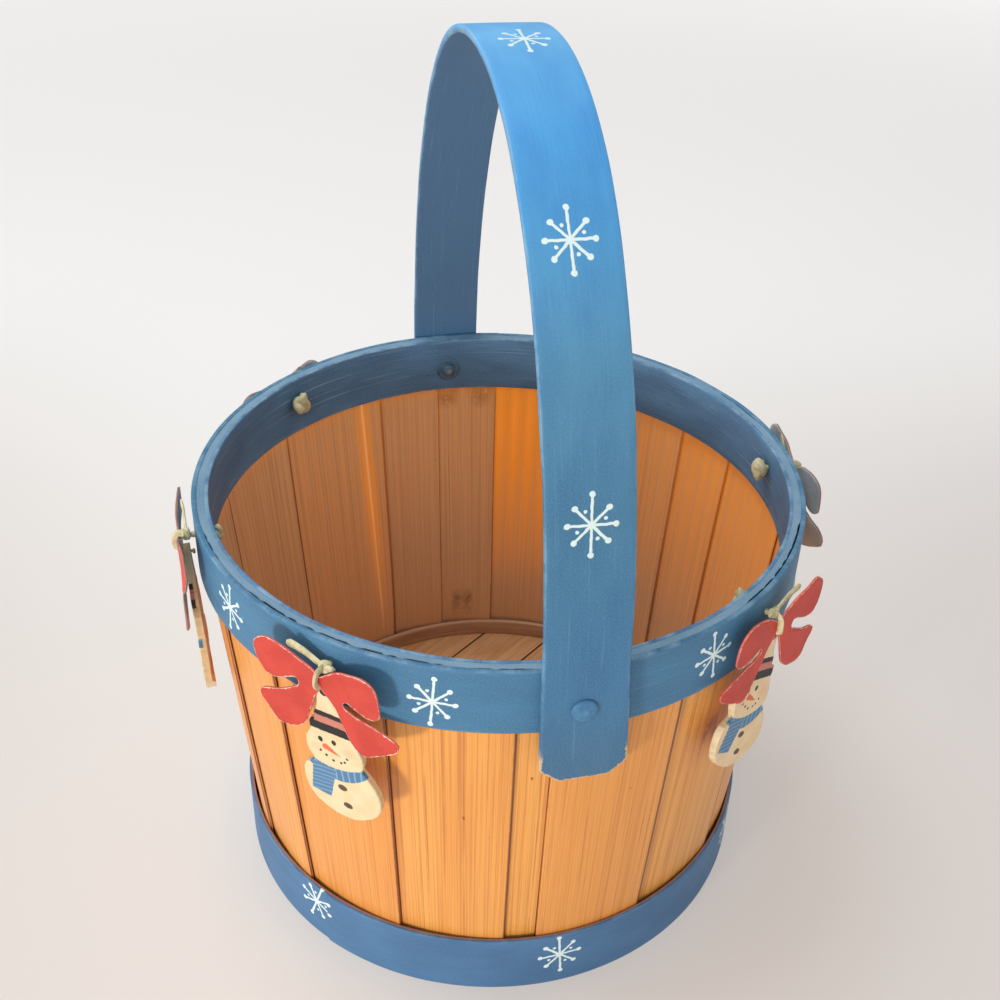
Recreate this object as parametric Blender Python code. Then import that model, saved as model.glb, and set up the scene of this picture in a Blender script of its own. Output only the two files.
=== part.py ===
"""Round splint basket with a riveted swing handle and six hanging ornaments.

Metres, +Z up. The origin is on the floor under the centre of the foot.
The handle's legs stand at +X and -X, and it swings about the X axis through its two rivets.
"""

import math

import bmesh
import bpy
from mathutils import Matrix, Vector
from mathutils.geometry import interpolate_bezier

# Basket body
RIM_RADIUS = 0.127  # outside of the top band
FOOT_RADIUS = 0.1165  # outside of the foot band
BASKET_HEIGHT = 0.1869
TOP_BAND_HEIGHT = 0.0285
INNER_BAND_HEIGHT = 0.0275
FOOT_BAND_HEIGHT = 0.030
OUTER_BAND_WALL = 0.002
INNER_BAND_WALL = 0.0016
SEAT_GAP = 0.0003  # between pieces that touch
BAND_SEGMENTS = 96

# Staves: thin splints, each with one edge over its neighbour and the other edge under the next
STAVE_WALL = 0.0011
# Degrees where each stave starts, as laid round by hand. The first is the narrow one that closes the circle.
STAVE_STARTS = (
    -11.0,
    -3.0,
    19.5,
    43.5,
    61.5,
    79.5,
    106.0,
    121.0,
    145.0,
    169.0,
    183.0,
    197.0,
    223.5,
    248.0,
    267.0,
    286.0,
    303.5,
    327.0,
)
LAP_ANGLE = math.radians(1.6)
STAVE_STEPS = 5
STAVE_TOP_SET_DOWN = 0.0008
STAVE_FOOT_CLEARANCE = 0.0010

# Bottom
BOARD_WALL = 0.004
BOARD_UNDERSIDE = 0.0012
BOARD_COUNT = 7
BOARDS_ACROSS = 7.26  # how many board widths make up the bottom's diameter
BOARD_SHIFT = -0.1  # the middle board lies this share of a width off the centre
BOARD_JOINT = 0.0004
BOARD_DIRECTION = math.radians(128.0)
HOOP_HEIGHT = 0.009
HOOP_WALL = 0.0022

# Handle: one bent strip outside the top band
HANDLE_WIDTH = 0.031
HANDLE_WALL = 0.003
HANDLE_EDGE_ROUND = 0.0006
ARCH_START = 0.002  # above the rim
ARCH_RISE = 0.1758
ARCH_LEAN = 0.0024
ARCH_SIDE_PULL = 0.0700
ARCH_CROWN_PULL = 0.0898
ARCH_STEPS = 26
LEG_BELOW_RIVET = 0.034
LEG_CORNER_WIDTH = 0.0068
LEG_CORNER_HEIGHT = 0.0065

# Rivets and washers
RIVET_BELOW_RIM = 0.0162
RIVET_SHANK_RADIUS = 0.002
RIVET_CLEARANCE = 0.0003
RIVET_HEAD_RADIUS = 0.0048
RIVET_HEAD_HEIGHT = 0.0019
RIVET_TIP_RADIUS = 0.0031
RIVET_TIP_HEIGHT = 0.0016
WASHER_RADIUS = 0.0055
WASHER_WALL = 0.0008
TURNED_SEGMENTS = 24

# Ornaments: a sheet bow and a flat wooden figure on each twine
# Each entry is one ornament as it hangs: degrees round the rim from the near leg, its turn about the
# vertical, and how far its figure's foot swings to the right.
ORNAMENTS = [
    (39.0, -8.0, -14.5),
    (-41.0, 0.0, 7.5),
    (88.0, 0.0, -8.0),
    (-86.0, -3.0, 8.0),
    (139.5, 0.0, -6.0),
    (-139.5, 0.0, 6.0),
]
TWINE_BELOW_RIM = 0.0100
TWINE_RADIUS = 0.0010
TWINE_CLEARANCE = 0.0003
KNOT_RADIUS = 0.0031
KNOT_LENGTH = 0.0060
OUTER_KNOT_RADIUS = 0.0021
OUTER_KNOT_START = 0.0006  # from the top band
OUTER_KNOT_END = 0.0048
END_KNOT_RADIUS = 0.0016
END_KNOT_LENGTH = 0.0018
TAIL_LENGTH = 0.0150
TWINE_SIDES = 8
FIGURE_WALL = 0.003
FIGURE_STAND_OFF = 0.0025  # from the top band to the back of the figure
FIGURE_HOLE_DROP = 0.0080  # from the twine's hole in the band to the figure's hole
TAB_TOP = 0.0036  # above the figure's hole
HAT_HEIGHT = 0.0192  # from the figure's hole down to the underside of the brim
HAT_HALF_WIDTH = 0.0070
BRIM_HALF_WIDTH = 0.0095
BRIM_WALL = 0.0031
HEAD_HALF_WIDTH = 0.0123
HEAD_HALF_HEIGHT = 0.0092
BODY_HALF_WIDTH = 0.0168
BODY_HALF_HEIGHT = 0.0137
HEAD_SINK = 0.0030  # the head overlaps the body by about this much
BRIM_SINK = 0.0005
BOW_WALL = 0.0008
BOW_NEAR_LOOP = 0.0246  # from the waist out, on the wing towards the near leg
BOW_NEAR_TAIL = 0.0320
BOW_NEAR_TOP = 0.0094  # above the middle of the waist
BOW_FAR_LOOP = 0.0275
BOW_FAR_TAIL = 0.0266
BOW_FAR_TOP = 0.0121
BOW_BOTTOM = 0.0267
BOW_SLIT_START = 0.0092
BOW_WAIST_HALF_HEIGHT = 0.0026

# Colours
BLUE_PAINT = (0.075, 0.235, 0.47)
HONEY_STAIN = (0.80, 0.40, 0.12)
BARE_WOOD = (0.50, 0.28, 0.14)
BOW_RED = (0.62, 0.06, 0.06)
CREAM_PAINT = (0.86, 0.78, 0.62)
TWINE_STRAW = (0.55, 0.50, 0.30)
RIVET_BLUE = (0.07, 0.20, 0.40)

# Worked out from the sizes above
TOP_BAND_INSIDE = RIM_RADIUS - OUTER_BAND_WALL
FOOT_BAND_INSIDE = FOOT_RADIUS - OUTER_BAND_WALL
STAVE_RISE = STAVE_WALL + SEAT_GAP  # an edge that lies over its neighbour stands this much further out
STAVE_TOP_OUTSIDE = TOP_BAND_INSIDE - SEAT_GAP
STAVE_FOOT_OUTSIDE = FOOT_BAND_INSIDE - SEAT_GAP
STAVE_ZONE = STAVE_RISE + STAVE_WALL
INNER_BAND_OUTSIDE = STAVE_TOP_OUTSIDE - STAVE_ZONE - SEAT_GAP
INNER_BAND_INSIDE = INNER_BAND_OUTSIDE - INNER_BAND_WALL
FOOT_INSIDE = STAVE_FOOT_OUTSIDE - STAVE_ZONE - SEAT_GAP
BOARD_PITCH = 2 * FOOT_INSIDE / BOARDS_ACROSS
BOARD_TOP = BOARD_UNDERSIDE + BOARD_WALL
RIVET_HEIGHT = BASKET_HEIGHT - RIVET_BELOW_RIM
LEG_INSIDE = RIM_RADIUS + SEAT_GAP
LEG_OUTSIDE = LEG_INSIDE + HANDLE_WALL
LEG_MIDDLE = LEG_INSIDE + HANDLE_WALL / 2
WASHER_FACE = INNER_BAND_INSIDE * math.cos(WASHER_RADIUS / INNER_BAND_INSIDE) - SEAT_GAP
TWINE_HEIGHT = BASKET_HEIGHT - TWINE_BELOW_RIM
WALL_DEPTH = RIM_RADIUS - INNER_BAND_INSIDE
FIGURE_FRONT = FIGURE_STAND_OFF + FIGURE_WALL
BOW_BACK = FIGURE_FRONT + SEAT_GAP
BOW_FRONT = BOW_BACK + BOW_WALL
FIGURE_HOLE_RADIUS = TWINE_RADIUS + TWINE_CLEARANCE
BOW_WAIST_BOTTOM = -FIGURE_HOLE_DROP + TWINE_RADIUS + SEAT_GAP
BOW_WAIST_MIDDLE = BOW_WAIST_BOTTOM + BOW_WAIST_HALF_HEIGHT


def clear_scene():
    for old in list(bpy.data.objects):
        bpy.data.objects.remove(old, do_unlink=True)


def make_material(name, colour, roughness, metallic=0.0):
    material = bpy.data.materials.new(name)
    material.use_nodes = True
    shader = material.node_tree.nodes["Principled BSDF"]
    shader.inputs["Base Color"].default_value = (*colour, 1.0)
    shader.inputs["Roughness"].default_value = roughness
    shader.inputs["Metallic"].default_value = metallic
    material.diffuse_color = (*colour, 1.0)
    return material


def add_piece(name, bm, material):
    """Turns a bmesh into a finished object with outward faces, smooth across gentle angles."""
    bmesh.ops.remove_doubles(bm, verts=bm.verts, dist=1e-6)
    bmesh.ops.recalc_face_normals(bm, faces=bm.faces)
    mesh = bpy.data.meshes.new(name)
    bm.to_mesh(mesh)
    bm.free()
    mesh.shade_smooth()
    mesh.set_sharp_from_angle(angle=math.radians(32))
    mesh.materials.append(material)
    piece = bpy.data.objects.new(name, mesh)
    bpy.context.scene.collection.objects.link(piece)
    return piece


def hide_helper(piece):
    piece.hide_render = True
    piece.display_type = "WIRE"


def cut(piece, cutter):
    modifier = piece.modifiers.new("hole", "BOOLEAN")
    modifier.operation = "DIFFERENCE"
    modifier.solver = "EXACT"
    modifier.object = cutter


def turned(profile, segments):
    """Turns a list of (radius, height) about Z. Points on the axis close the shape there."""
    bm = bmesh.new()
    verts = [bm.verts.new((radius, 0, height)) for radius, height in profile]
    edges = [bm.edges.new(pair) for pair in zip(verts, verts[1:])]
    if profile[0][0] > 0:
        edges.append(bm.edges.new((verts[-1], verts[0])))
    bmesh.ops.spin(
        bm,
        geom=verts + edges,
        axis=(0, 0, 1),
        cent=(0, 0, 0),
        angle=2 * math.pi,
        steps=segments,
        use_merge=True,
    )
    return bm


def ring(outside, inside, low, high):
    profile = [(inside, low), (outside, low), (outside, high), (inside, high)]
    return turned(profile, BAND_SEGMENTS)


def quad_grid(bm, grid, closed_rows=False):
    """Faces between neighbouring rows and columns of a grid of vertices."""
    for row, above in zip(grid, grid[1:]):
        for j in range(len(row) - (0 if closed_rows else 1)):
            k = (j + 1) % len(row)
            bm.faces.new((row[j], row[k], above[k], above[j]))


def wall_outside(height):
    """Outer radius of the space that holds the staves: upright in both bands, sloping between."""
    low = FOOT_BAND_HEIGHT
    high = BASKET_HEIGHT - TOP_BAND_HEIGHT
    share = min(max((height - low) / (high - low), 0.0), 1.0)
    return STAVE_FOOT_OUTSIDE + (STAVE_TOP_OUTSIDE - STAVE_FOOT_OUTSIDE) * share


def stave_seams():
    """Angles where each stave's over edge lies on the next one, ending where the first began."""
    starts = [math.radians(start) for start in STAVE_STARTS]
    return starts + [starts[0] + 2 * math.pi]


def make_stave(name, start, end, start_rise, end_rise, material):
    """A bent splint from one seam to the next: flat in both laps and level or rising between."""
    half = LAP_ANGLE / 2
    inner_start, inner_end = start + half, end - half
    angles = [start - half]
    angles += [inner_start + (inner_end - inner_start) * i / STAVE_STEPS for i in range(STAVE_STEPS + 1)]
    angles.append(end + half)
    change = end_rise - start_rise
    rises = [start_rise + change * i / STAVE_STEPS for i in range(STAVE_STEPS + 1)]
    rises = [start_rise] + rises + [end_rise]
    heights = [
        STAVE_FOOT_CLEARANCE,
        FOOT_BAND_HEIGHT,
        BASKET_HEIGHT - TOP_BAND_HEIGHT,
        BASKET_HEIGHT - STAVE_TOP_SET_DOWN,
    ]
    bm = bmesh.new()
    outer, inner = [], []
    for height in heights:
        lowest = wall_outside(height) - STAVE_RISE
        outer_row, inner_row = [], []
        for angle, rise in zip(angles, rises):
            direction = Vector((math.cos(angle), math.sin(angle), 0))
            outer_row.append(bm.verts.new(direction * (lowest + rise) + Vector((0, 0, height))))
            inner_row.append(bm.verts.new(direction * (lowest + rise - STAVE_WALL) + Vector((0, 0, height))))
        outer.append(outer_row)
        inner.append(inner_row)
    loops = [row + back[::-1] for row, back in zip(outer, inner)]
    quad_grid(bm, loops, closed_rows=True)
    for row, back in ((outer[0], inner[0]), (outer[-1], inner[-1])):
        quad_grid(bm, [row, back])
    return add_piece(name, bm, material)


def make_board(name, near, far, material):
    """One plank of the round bottom: the slice of the disc between two straight joints."""
    radius = FOOT_INSIDE
    bm = bmesh.new()
    near = max(near, -radius)
    far = min(far, radius)
    start = math.asin(max(-1.0, near / radius))
    end = math.asin(min(1.0, far / radius))
    steps = max(3, round((end - start) / math.radians(7)))
    right = [start + (end - start) * i / steps for i in range(steps + 1)]
    outline = [Vector((math.cos(a) * radius, math.sin(a) * radius)) for a in right]
    outline += [Vector((-math.cos(a) * radius, math.sin(a) * radius)) for a in reversed(right)]
    turn = Matrix.Rotation(BOARD_DIRECTION, 3, "Z")
    face = bm.faces.new([bm.verts.new(turn @ Vector((p.x, p.y, BOARD_UNDERSIDE))) for p in outline])
    lifted = bmesh.ops.extrude_face_region(bm, geom=[face])["geom"]
    moved = [v for v in lifted if isinstance(v, bmesh.types.BMVert)]
    bmesh.ops.translate(bm, verts=moved, vec=(0, 0, BOARD_WALL))
    return add_piece(name, bm, material)


def make_bottom(material):
    middle = (BOARD_COUNT - 1) / 2
    for i in range(BOARD_COUNT):
        centre = (BOARD_SHIFT + i - middle) * BOARD_PITCH
        half = (BOARD_PITCH - BOARD_JOINT) / 2
        near = -FOOT_INSIDE if i == 0 else centre - half
        far = FOOT_INSIDE if i == BOARD_COUNT - 1 else centre + half
        make_board(f"bottom_board_{i + 1}", near, far, material)


def handle_path():
    """Middle line of the strip in the XZ plane, from the +X leg's lower end to the -X leg's."""
    leg_end = RIVET_HEIGHT - LEG_BELOW_RIVET
    arch_low = BASKET_HEIGHT + ARCH_START
    arch_high = arch_low + ARCH_RISE
    leg = [Vector((LEG_MIDDLE, 0, z)) for z in (leg_end, leg_end + LEG_CORNER_HEIGHT, RIVET_HEIGHT)]
    arch = interpolate_bezier(
        Vector((LEG_MIDDLE, 0, arch_low)),
        Vector((LEG_MIDDLE - ARCH_LEAN, 0, arch_low + ARCH_SIDE_PULL)),
        Vector((ARCH_CROWN_PULL, 0, arch_high)),
        Vector((0, 0, arch_high)),
        ARCH_STEPS + 1,
    )
    side = leg + arch
    return side + [Vector((-p.x, 0, p.z)) for p in reversed(side[:-1])]


def make_handle(material, cutter):
    path = handle_path()
    half_wall = HANDLE_WALL / 2
    soft = HANDLE_EDGE_ROUND
    bm = bmesh.new()
    rows = []
    for i, point in enumerate(path):
        ahead = path[min(i + 1, len(path) - 1)] - path[max(i - 1, 0)]
        outward = Vector((ahead.z, 0, -ahead.x)).normalized()
        at_end = i in (0, len(path) - 1)
        half = HANDLE_WIDTH / 2 - (LEG_CORNER_WIDTH if at_end else 0)
        section = [(half, half_wall - soft), (half - soft, half_wall)]
        section += [(-y, w) for y, w in reversed(section)]
        section += [(y, -w) for y, w in reversed(section)]
        rows.append([bm.verts.new(point + outward * w + Vector((0, y, 0))) for y, w in section])
    quad_grid(bm, rows, closed_rows=True)
    bm.faces.new(rows[0])
    bm.faces.new(rows[-1])
    handle = add_piece("handle", bm, material)
    cut(handle, cutter)
    return handle


def lay_on_x(bm, side):
    """Turns a shape made about Z so that its +Z points along X on the given side of the basket."""
    turn = Matrix.Rotation(math.radians(90 * side), 4, "Y")
    bmesh.ops.transform(bm, matrix=Matrix.Translation((0, 0, RIVET_HEIGHT)) @ turn, verts=bm.verts)
    return bm


def make_rivet(name, side, material):
    """Domed head outside the leg, shank through the wall, and a hammered tip over the washer."""
    head = LEG_OUTSIDE + SEAT_GAP
    tip = WASHER_FACE - WASHER_WALL - SEAT_GAP
    profile = [
        (0.0, head + RIVET_HEAD_HEIGHT),
        (RIVET_HEAD_RADIUS * 0.5, head + RIVET_HEAD_HEIGHT * 0.86),
        (RIVET_HEAD_RADIUS * 0.87, head + RIVET_HEAD_HEIGHT * 0.5),
        (RIVET_HEAD_RADIUS, head),
        (RIVET_SHANK_RADIUS, head),
        (RIVET_SHANK_RADIUS, tip),
        (RIVET_TIP_RADIUS, tip),
        (RIVET_TIP_RADIUS * 0.8, tip - RIVET_TIP_HEIGHT * 0.7),
        (0.0, tip - RIVET_TIP_HEIGHT),
    ]
    return add_piece(name, lay_on_x(turned(profile, TURNED_SEGMENTS), side), material)


def make_washer(name, side, material):
    hole = RIVET_SHANK_RADIUS + RIVET_CLEARANCE
    back = WASHER_FACE - WASHER_WALL
    profile = [(hole, back), (WASHER_RADIUS, back), (WASHER_RADIUS, WASHER_FACE), (hole, WASHER_FACE)]
    return add_piece(name, lay_on_x(turned(profile, TURNED_SEGMENTS), side), material)


def drill(name, radius, start, end, places, sides):
    """Round drills along each place's own +Z, from start to end, joined in one helper object."""
    bm = bmesh.new()
    for place in places:
        shift = Matrix.Translation((0, 0, (start + end) / 2))
        bmesh.ops.create_cone(
            bm,
            cap_ends=True,
            segments=sides,
            radius1=radius,
            radius2=radius,
            depth=end - start,
            matrix=place @ shift,
        )
    helper = add_piece(name, bm, bpy.data.materials[0])
    hide_helper(helper)
    return helper


def rivet_places():
    lift = Matrix.Translation((0, 0, RIVET_HEIGHT))
    return [lift @ Matrix.Rotation(math.radians(90 * side), 4, "Y") for side in (1, -1)]


def ornament_place(angle):
    """Frame of an ornament: X to the right seen from outside, Y up, Z out of the band."""
    outward = Vector((math.cos(angle), math.sin(angle), 0))
    right = Vector((-math.sin(angle), math.cos(angle), 0))
    place = Matrix.Identity(4)
    place.col[0][:3] = right
    place.col[1][:3] = (0, 0, 1)
    place.col[2][:3] = outward
    place.translation = outward * RIM_RADIUS + Vector((0, 0, TWINE_HEIGHT))
    return place


def tube(points, radii):
    """A round cord carried along points, with its own radius at each, and closed ends."""
    bm = bmesh.new()
    rows = []
    points = [Vector(p) for p in points]
    side = Vector((1, 0, 0))
    for i, point in enumerate(points):
        ahead = (points[min(i + 1, len(points) - 1)] - points[max(i - 1, 0)]).normalized()
        side = (side - ahead * side.dot(ahead)).normalized()
        other = ahead.cross(side)
        row = []
        for k in range(TWINE_SIDES):
            turn = 2 * math.pi * k / TWINE_SIDES
            row.append(bm.verts.new(point + (side * math.cos(turn) + other * math.sin(turn)) * radii[i]))
        rows.append(row)
    quad_grid(bm, rows, closed_rows=True)
    bm.faces.new(rows[0])
    bm.faces.new(rows[-1])
    return bm


def knot_run(axis_start, axis_end, radius):
    """Points and radii of a knot: a bulge between two places on a straight run."""
    shares = (0.0, 0.12, 0.5, 0.88, 1.0)
    swell = (0.3, 0.85, 1.0, 0.85, 0.3)
    start, end = Vector(axis_start), Vector(axis_end)
    points = [start.lerp(end, share) for share in shares]
    return points, [max(radius * s, TWINE_RADIUS) for s in swell]


def make_twine(name, place, turn, side, material):
    """Inside knot, through the wall, round the bow's waist, back through the figure's hole."""
    knot_out = -WALL_DEPTH - SEAT_GAP
    points, radii = knot_run((0, 0, knot_out - KNOT_LENGTH), (0, 0, knot_out), KNOT_RADIUS)
    front = BOW_FRONT + SEAT_GAP + TWINE_RADIUS
    hole = -FIGURE_HOLE_DROP
    points.append(Vector((0, 0, knot_out * 0.8)))
    radii.append(TWINE_RADIUS)
    outside, outside_radii = knot_run((0, 0, OUTER_KNOT_START), (0, 0, OUTER_KNOT_END), OUTER_KNOT_RADIUS)
    radii += outside_radii
    outside += [
        Vector((0, 0.0008, front - 0.0018)),
        Vector((0, 0.0004, front - 0.0004)),
        Vector((0, -0.0012, front + 0.0001)),
        Vector((0, hole * 0.50, front + 0.0002)),
        Vector((0, hole + 0.0006, front)),
        Vector((0, hole - 0.0004, front - 0.0006)),
        Vector((0, hole, front - 0.0022)),
    ]
    radii += [TWINE_RADIUS] * 7
    back = FIGURE_STAND_OFF - SEAT_GAP
    ending, ending_radii = knot_run((0, hole, back), (0, hole, back - END_KNOT_LENGTH), END_KNOT_RADIUS)
    outside.append(Vector((0, hole, back + 0.0004)))
    radii.append(TWINE_RADIUS)
    points += [turn @ point for point in outside + ending]
    radii += ending_radii
    twine = add_piece(name, tube(points, radii), material)
    twine.matrix_world = place
    tail_points = [
        (0, 0.0006, 0.0026),
        (side * TAIL_LENGTH * 0.3, 0.0026, 0.0028),
        (side * TAIL_LENGTH * 0.65, 0.0048, 0.0030),
        (side * TAIL_LENGTH, 0.0062, 0.0034),
    ]
    tail = add_piece(name + "_tail", tube(tail_points, [TWINE_RADIUS * s for s in (1.1, 1.2, 1.1, 0.8)]), material)
    tail.matrix_world = place @ turn
    hide_helper(tail)
    join = twine.modifiers.new("tail", "BOOLEAN")
    join.operation = "UNION"
    join.solver = "EXACT"
    join.object = tail
    return twine


def flat_outline(name, outlines, wall, place, material):
    """A plate cut to smooth outlines. A second outline inside the first is a hole."""
    curve = bpy.data.curves.new(name + "_outline", "CURVE")
    curve.dimensions = "2D"
    curve.fill_mode = "BOTH"
    curve.resolution_u = 3
    curve.extrude = wall / 2
    for outline in outlines:
        spline = curve.splines.new("BEZIER")
        spline.bezier_points.add(len(outline) - 1)
        for point, (x, y, handle) in zip(spline.bezier_points, outline):
            point.co = (x, y, 0)
            point.handle_left_type = handle
            point.handle_right_type = handle
        spline.use_cyclic_u = True
    guide = bpy.data.objects.new(name + "_guide", curve)
    bpy.context.scene.collection.objects.link(guide)
    bpy.context.view_layer.update()
    mesh = bpy.data.meshes.new_from_object(guide.evaluated_get(bpy.context.evaluated_depsgraph_get()))
    bpy.data.objects.remove(guide, do_unlink=True)
    bm = bmesh.new()
    bm.from_mesh(mesh)
    piece = add_piece(name, bm, material)
    piece.matrix_world = place
    return piece


def both_halves(right, left):
    """One outline from two halves that both run down from the same middle, given as right halves."""
    return right + [(-x, y, handle) for x, y, handle in reversed(left) if abs(x) > 1e-9]


def figure_outline():
    """Tab, hat with its brim, head and body, from the hole at (0, 0) downwards."""
    head = -HAT_HEIGHT - HEAD_HALF_HEIGHT + BRIM_SINK
    neck = head - HEAD_HALF_HEIGHT + HEAD_SINK / 2
    body = neck - BODY_HALF_HEIGHT + HEAD_SINK / 2
    brim_top = -HAT_HEIGHT + BRIM_WALL
    half = [
        (0, TAB_TOP, "AUTO"),
        (TAB_TOP * 0.75, TAB_TOP * 0.62, "AUTO"),
        (TAB_TOP * 0.98, -TAB_TOP * 0.6, "AUTO"),
        (HAT_HALF_WIDTH * 0.72, -HAT_HEIGHT * 0.48, "AUTO"),
        (HAT_HALF_WIDTH, brim_top + 0.0004, "VECTOR"),
        (BRIM_HALF_WIDTH, brim_top - 0.0003, "VECTOR"),
        (BRIM_HALF_WIDTH, -HAT_HEIGHT, "VECTOR"),
        (HEAD_HALF_WIDTH * 0.93, head + HEAD_HALF_HEIGHT * 0.42, "AUTO"),
        (HEAD_HALF_WIDTH, head, "AUTO"),
        (HEAD_HALF_WIDTH * 0.9, head - HEAD_HALF_HEIGHT * 0.55, "AUTO"),
        (BODY_HALF_WIDTH * 0.68, neck, "VECTOR"),
        (BODY_HALF_WIDTH * 0.9, body + BODY_HALF_HEIGHT * 0.45, "AUTO"),
        (BODY_HALF_WIDTH, body - BODY_HALF_HEIGHT * 0.12, "AUTO"),
        (BODY_HALF_WIDTH * 0.74, body - BODY_HALF_HEIGHT * 0.76, "AUTO"),
        (0, body - BODY_HALF_HEIGHT, "AUTO"),
    ]
    return both_halves(half, half)


def round_outline(radius, count):
    turns = [2 * math.pi * i / count for i in range(count)]
    return [(radius * math.cos(a), radius * math.sin(a), "AUTO") for a in turns]


def bow_wing(loop, tail, top):
    """One wing from the waist out, slit from its outer end into a loop and a tail."""
    low, waist, slit = BOW_BOTTOM, BOW_WAIST_HALF_HEIGHT, BOW_SLIT_START
    return [
        (0, waist, "AUTO"),
        (loop * 0.14, waist * 1.8, "AUTO"),
        (loop * 0.40, top * 0.76, "AUTO"),
        (loop * 0.74, top, "AUTO"),
        (loop * 0.98, top * 0.52, "AUTO"),
        (loop * 0.96, -low * 0.19, "VECTOR"),
        (loop * 0.76, -low * 0.26, "VECTOR"),
        (slit, -low * 0.17, "VECTOR"),
        (slit * 1.04, -low * 0.25, "VECTOR"),
        (slit * 2.1, -low * 0.43, "VECTOR"),
        (tail * 0.93, -low * 0.51, "VECTOR"),
        (tail, -low * 0.60, "AUTO"),
        (tail * 0.84, -low * 0.82, "AUTO"),
        (tail * 0.60, -low, "AUTO"),
        (tail * 0.36, -low * 0.84, "AUTO"),
        (tail * 0.19, -low * 0.50, "AUTO"),
        (tail * 0.10, -low * 0.24, "AUTO"),
        (0, -waist, "AUTO"),
    ]


def bow_outline(side):
    near = bow_wing(BOW_NEAR_LOOP, BOW_NEAR_TAIL, BOW_NEAR_TOP)
    far = bow_wing(BOW_FAR_LOOP, BOW_FAR_TAIL, BOW_FAR_TOP)
    return both_halves(near, far) if side < 0 else both_halves(far, near)


def make_ornament(label, angle, turn_angle, hang_angle, materials):
    side = 1 if angle > 0 else -1
    place = ornament_place(math.radians(angle))
    turn = Matrix.Rotation(math.radians(turn_angle), 4, "Y")
    make_twine(f"{label}_twine", place, turn, side, materials["twine"])
    figure_centre = Matrix.Translation((0, -FIGURE_HOLE_DROP, FIGURE_STAND_OFF + FIGURE_WALL / 2))
    hang = Matrix.Rotation(math.radians(hang_angle), 4, "Z")
    hole = round_outline(FIGURE_HOLE_RADIUS, 6)
    flat_outline(
        f"{label}_figure",
        [figure_outline(), hole],
        FIGURE_WALL,
        place @ turn @ figure_centre @ hang,
        materials["cream"],
    )
    bow_centre = Matrix.Translation((0, BOW_WAIST_MIDDLE, BOW_BACK + BOW_WALL / 2))
    flat_outline(f"{label}_bow", [bow_outline(side)], BOW_WALL, place @ turn @ bow_centre, materials["red"])


def main():
    clear_scene()
    materials = {
        "blue": make_material("blue_paint", BLUE_PAINT, 0.55),
        "honey": make_material("honey_stain", HONEY_STAIN, 0.5),
        "bare": make_material("bare_wood", BARE_WOOD, 0.6),
        "red": make_material("bow_red", BOW_RED, 0.5, 0.2),
        "cream": make_material("cream_paint", CREAM_PAINT, 0.5),
        "twine": make_material("twine_straw", TWINE_STRAW, 0.9),
        "rivet": make_material("rivet_blue", RIVET_BLUE, 0.45, 0.3),
    }
    places = [ornament_place(math.radians(angle)) for angle, turn_angle, hang_angle in ORNAMENTS]
    rivet_drill = drill(
        "rivet_drill",
        RIVET_SHANK_RADIUS + RIVET_CLEARANCE,
        INNER_BAND_INSIDE - HANDLE_WALL,
        LEG_OUTSIDE + HANDLE_WALL,
        rivet_places(),
        16,
    )
    twine_drill = drill(
        "twine_drill", TWINE_RADIUS + TWINE_CLEARANCE, -WALL_DEPTH * 1.5, WALL_DEPTH, places, TWINE_SIDES
    )

    band_low = BASKET_HEIGHT - TOP_BAND_HEIGHT
    top_band = add_piece(
        "outer_top_band", ring(RIM_RADIUS, TOP_BAND_INSIDE, band_low, BASKET_HEIGHT), materials["blue"]
    )
    inner_low = BASKET_HEIGHT - INNER_BAND_HEIGHT
    inner_band = add_piece(
        "inner_top_band",
        ring(INNER_BAND_OUTSIDE, INNER_BAND_INSIDE, inner_low, BASKET_HEIGHT),
        materials["blue"],
    )
    add_piece("foot_band", ring(FOOT_RADIUS, FOOT_BAND_INSIDE, 0, FOOT_BAND_HEIGHT), materials["blue"])
    hoop_low = BOARD_TOP + SEAT_GAP
    add_piece(
        "inner_hoop",
        ring(FOOT_INSIDE, FOOT_INSIDE - HOOP_WALL, hoop_low, hoop_low + HOOP_HEIGHT),
        materials["bare"],
    )

    seams = stave_seams()
    walls = [top_band, inner_band]
    for i, (start, end) in enumerate(zip(seams, seams[1:])):
        # The filler lies under both neighbours, so the stave after it starts at the outer level.
        start_rise = STAVE_RISE if i == 1 else 0.0
        end_rise = 0.0 if i == 0 else STAVE_RISE
        name = f"stave_{i + 1:02d}"
        walls.append(make_stave(name, start, end, start_rise, end_rise, materials["honey"]))
    for wall in walls:
        cut(wall, rivet_drill)
        cut(wall, twine_drill)

    make_bottom(materials["bare"])
    make_handle(materials["blue"], rivet_drill)
    for label, side in (("near", 1), ("far", -1)):
        make_rivet(f"{label}_rivet", side, materials["rivet"])
        make_washer(f"{label}_washer", side, materials["rivet"])
    for i, (angle, turn_angle, hang_angle) in enumerate(ORNAMENTS):
        make_ornament(f"ornament_{i + 1}", angle, turn_angle, hang_angle, materials)


main()
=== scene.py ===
import math

import bmesh
import bpy
import numpy as np
from mathutils import Matrix, Vector


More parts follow.
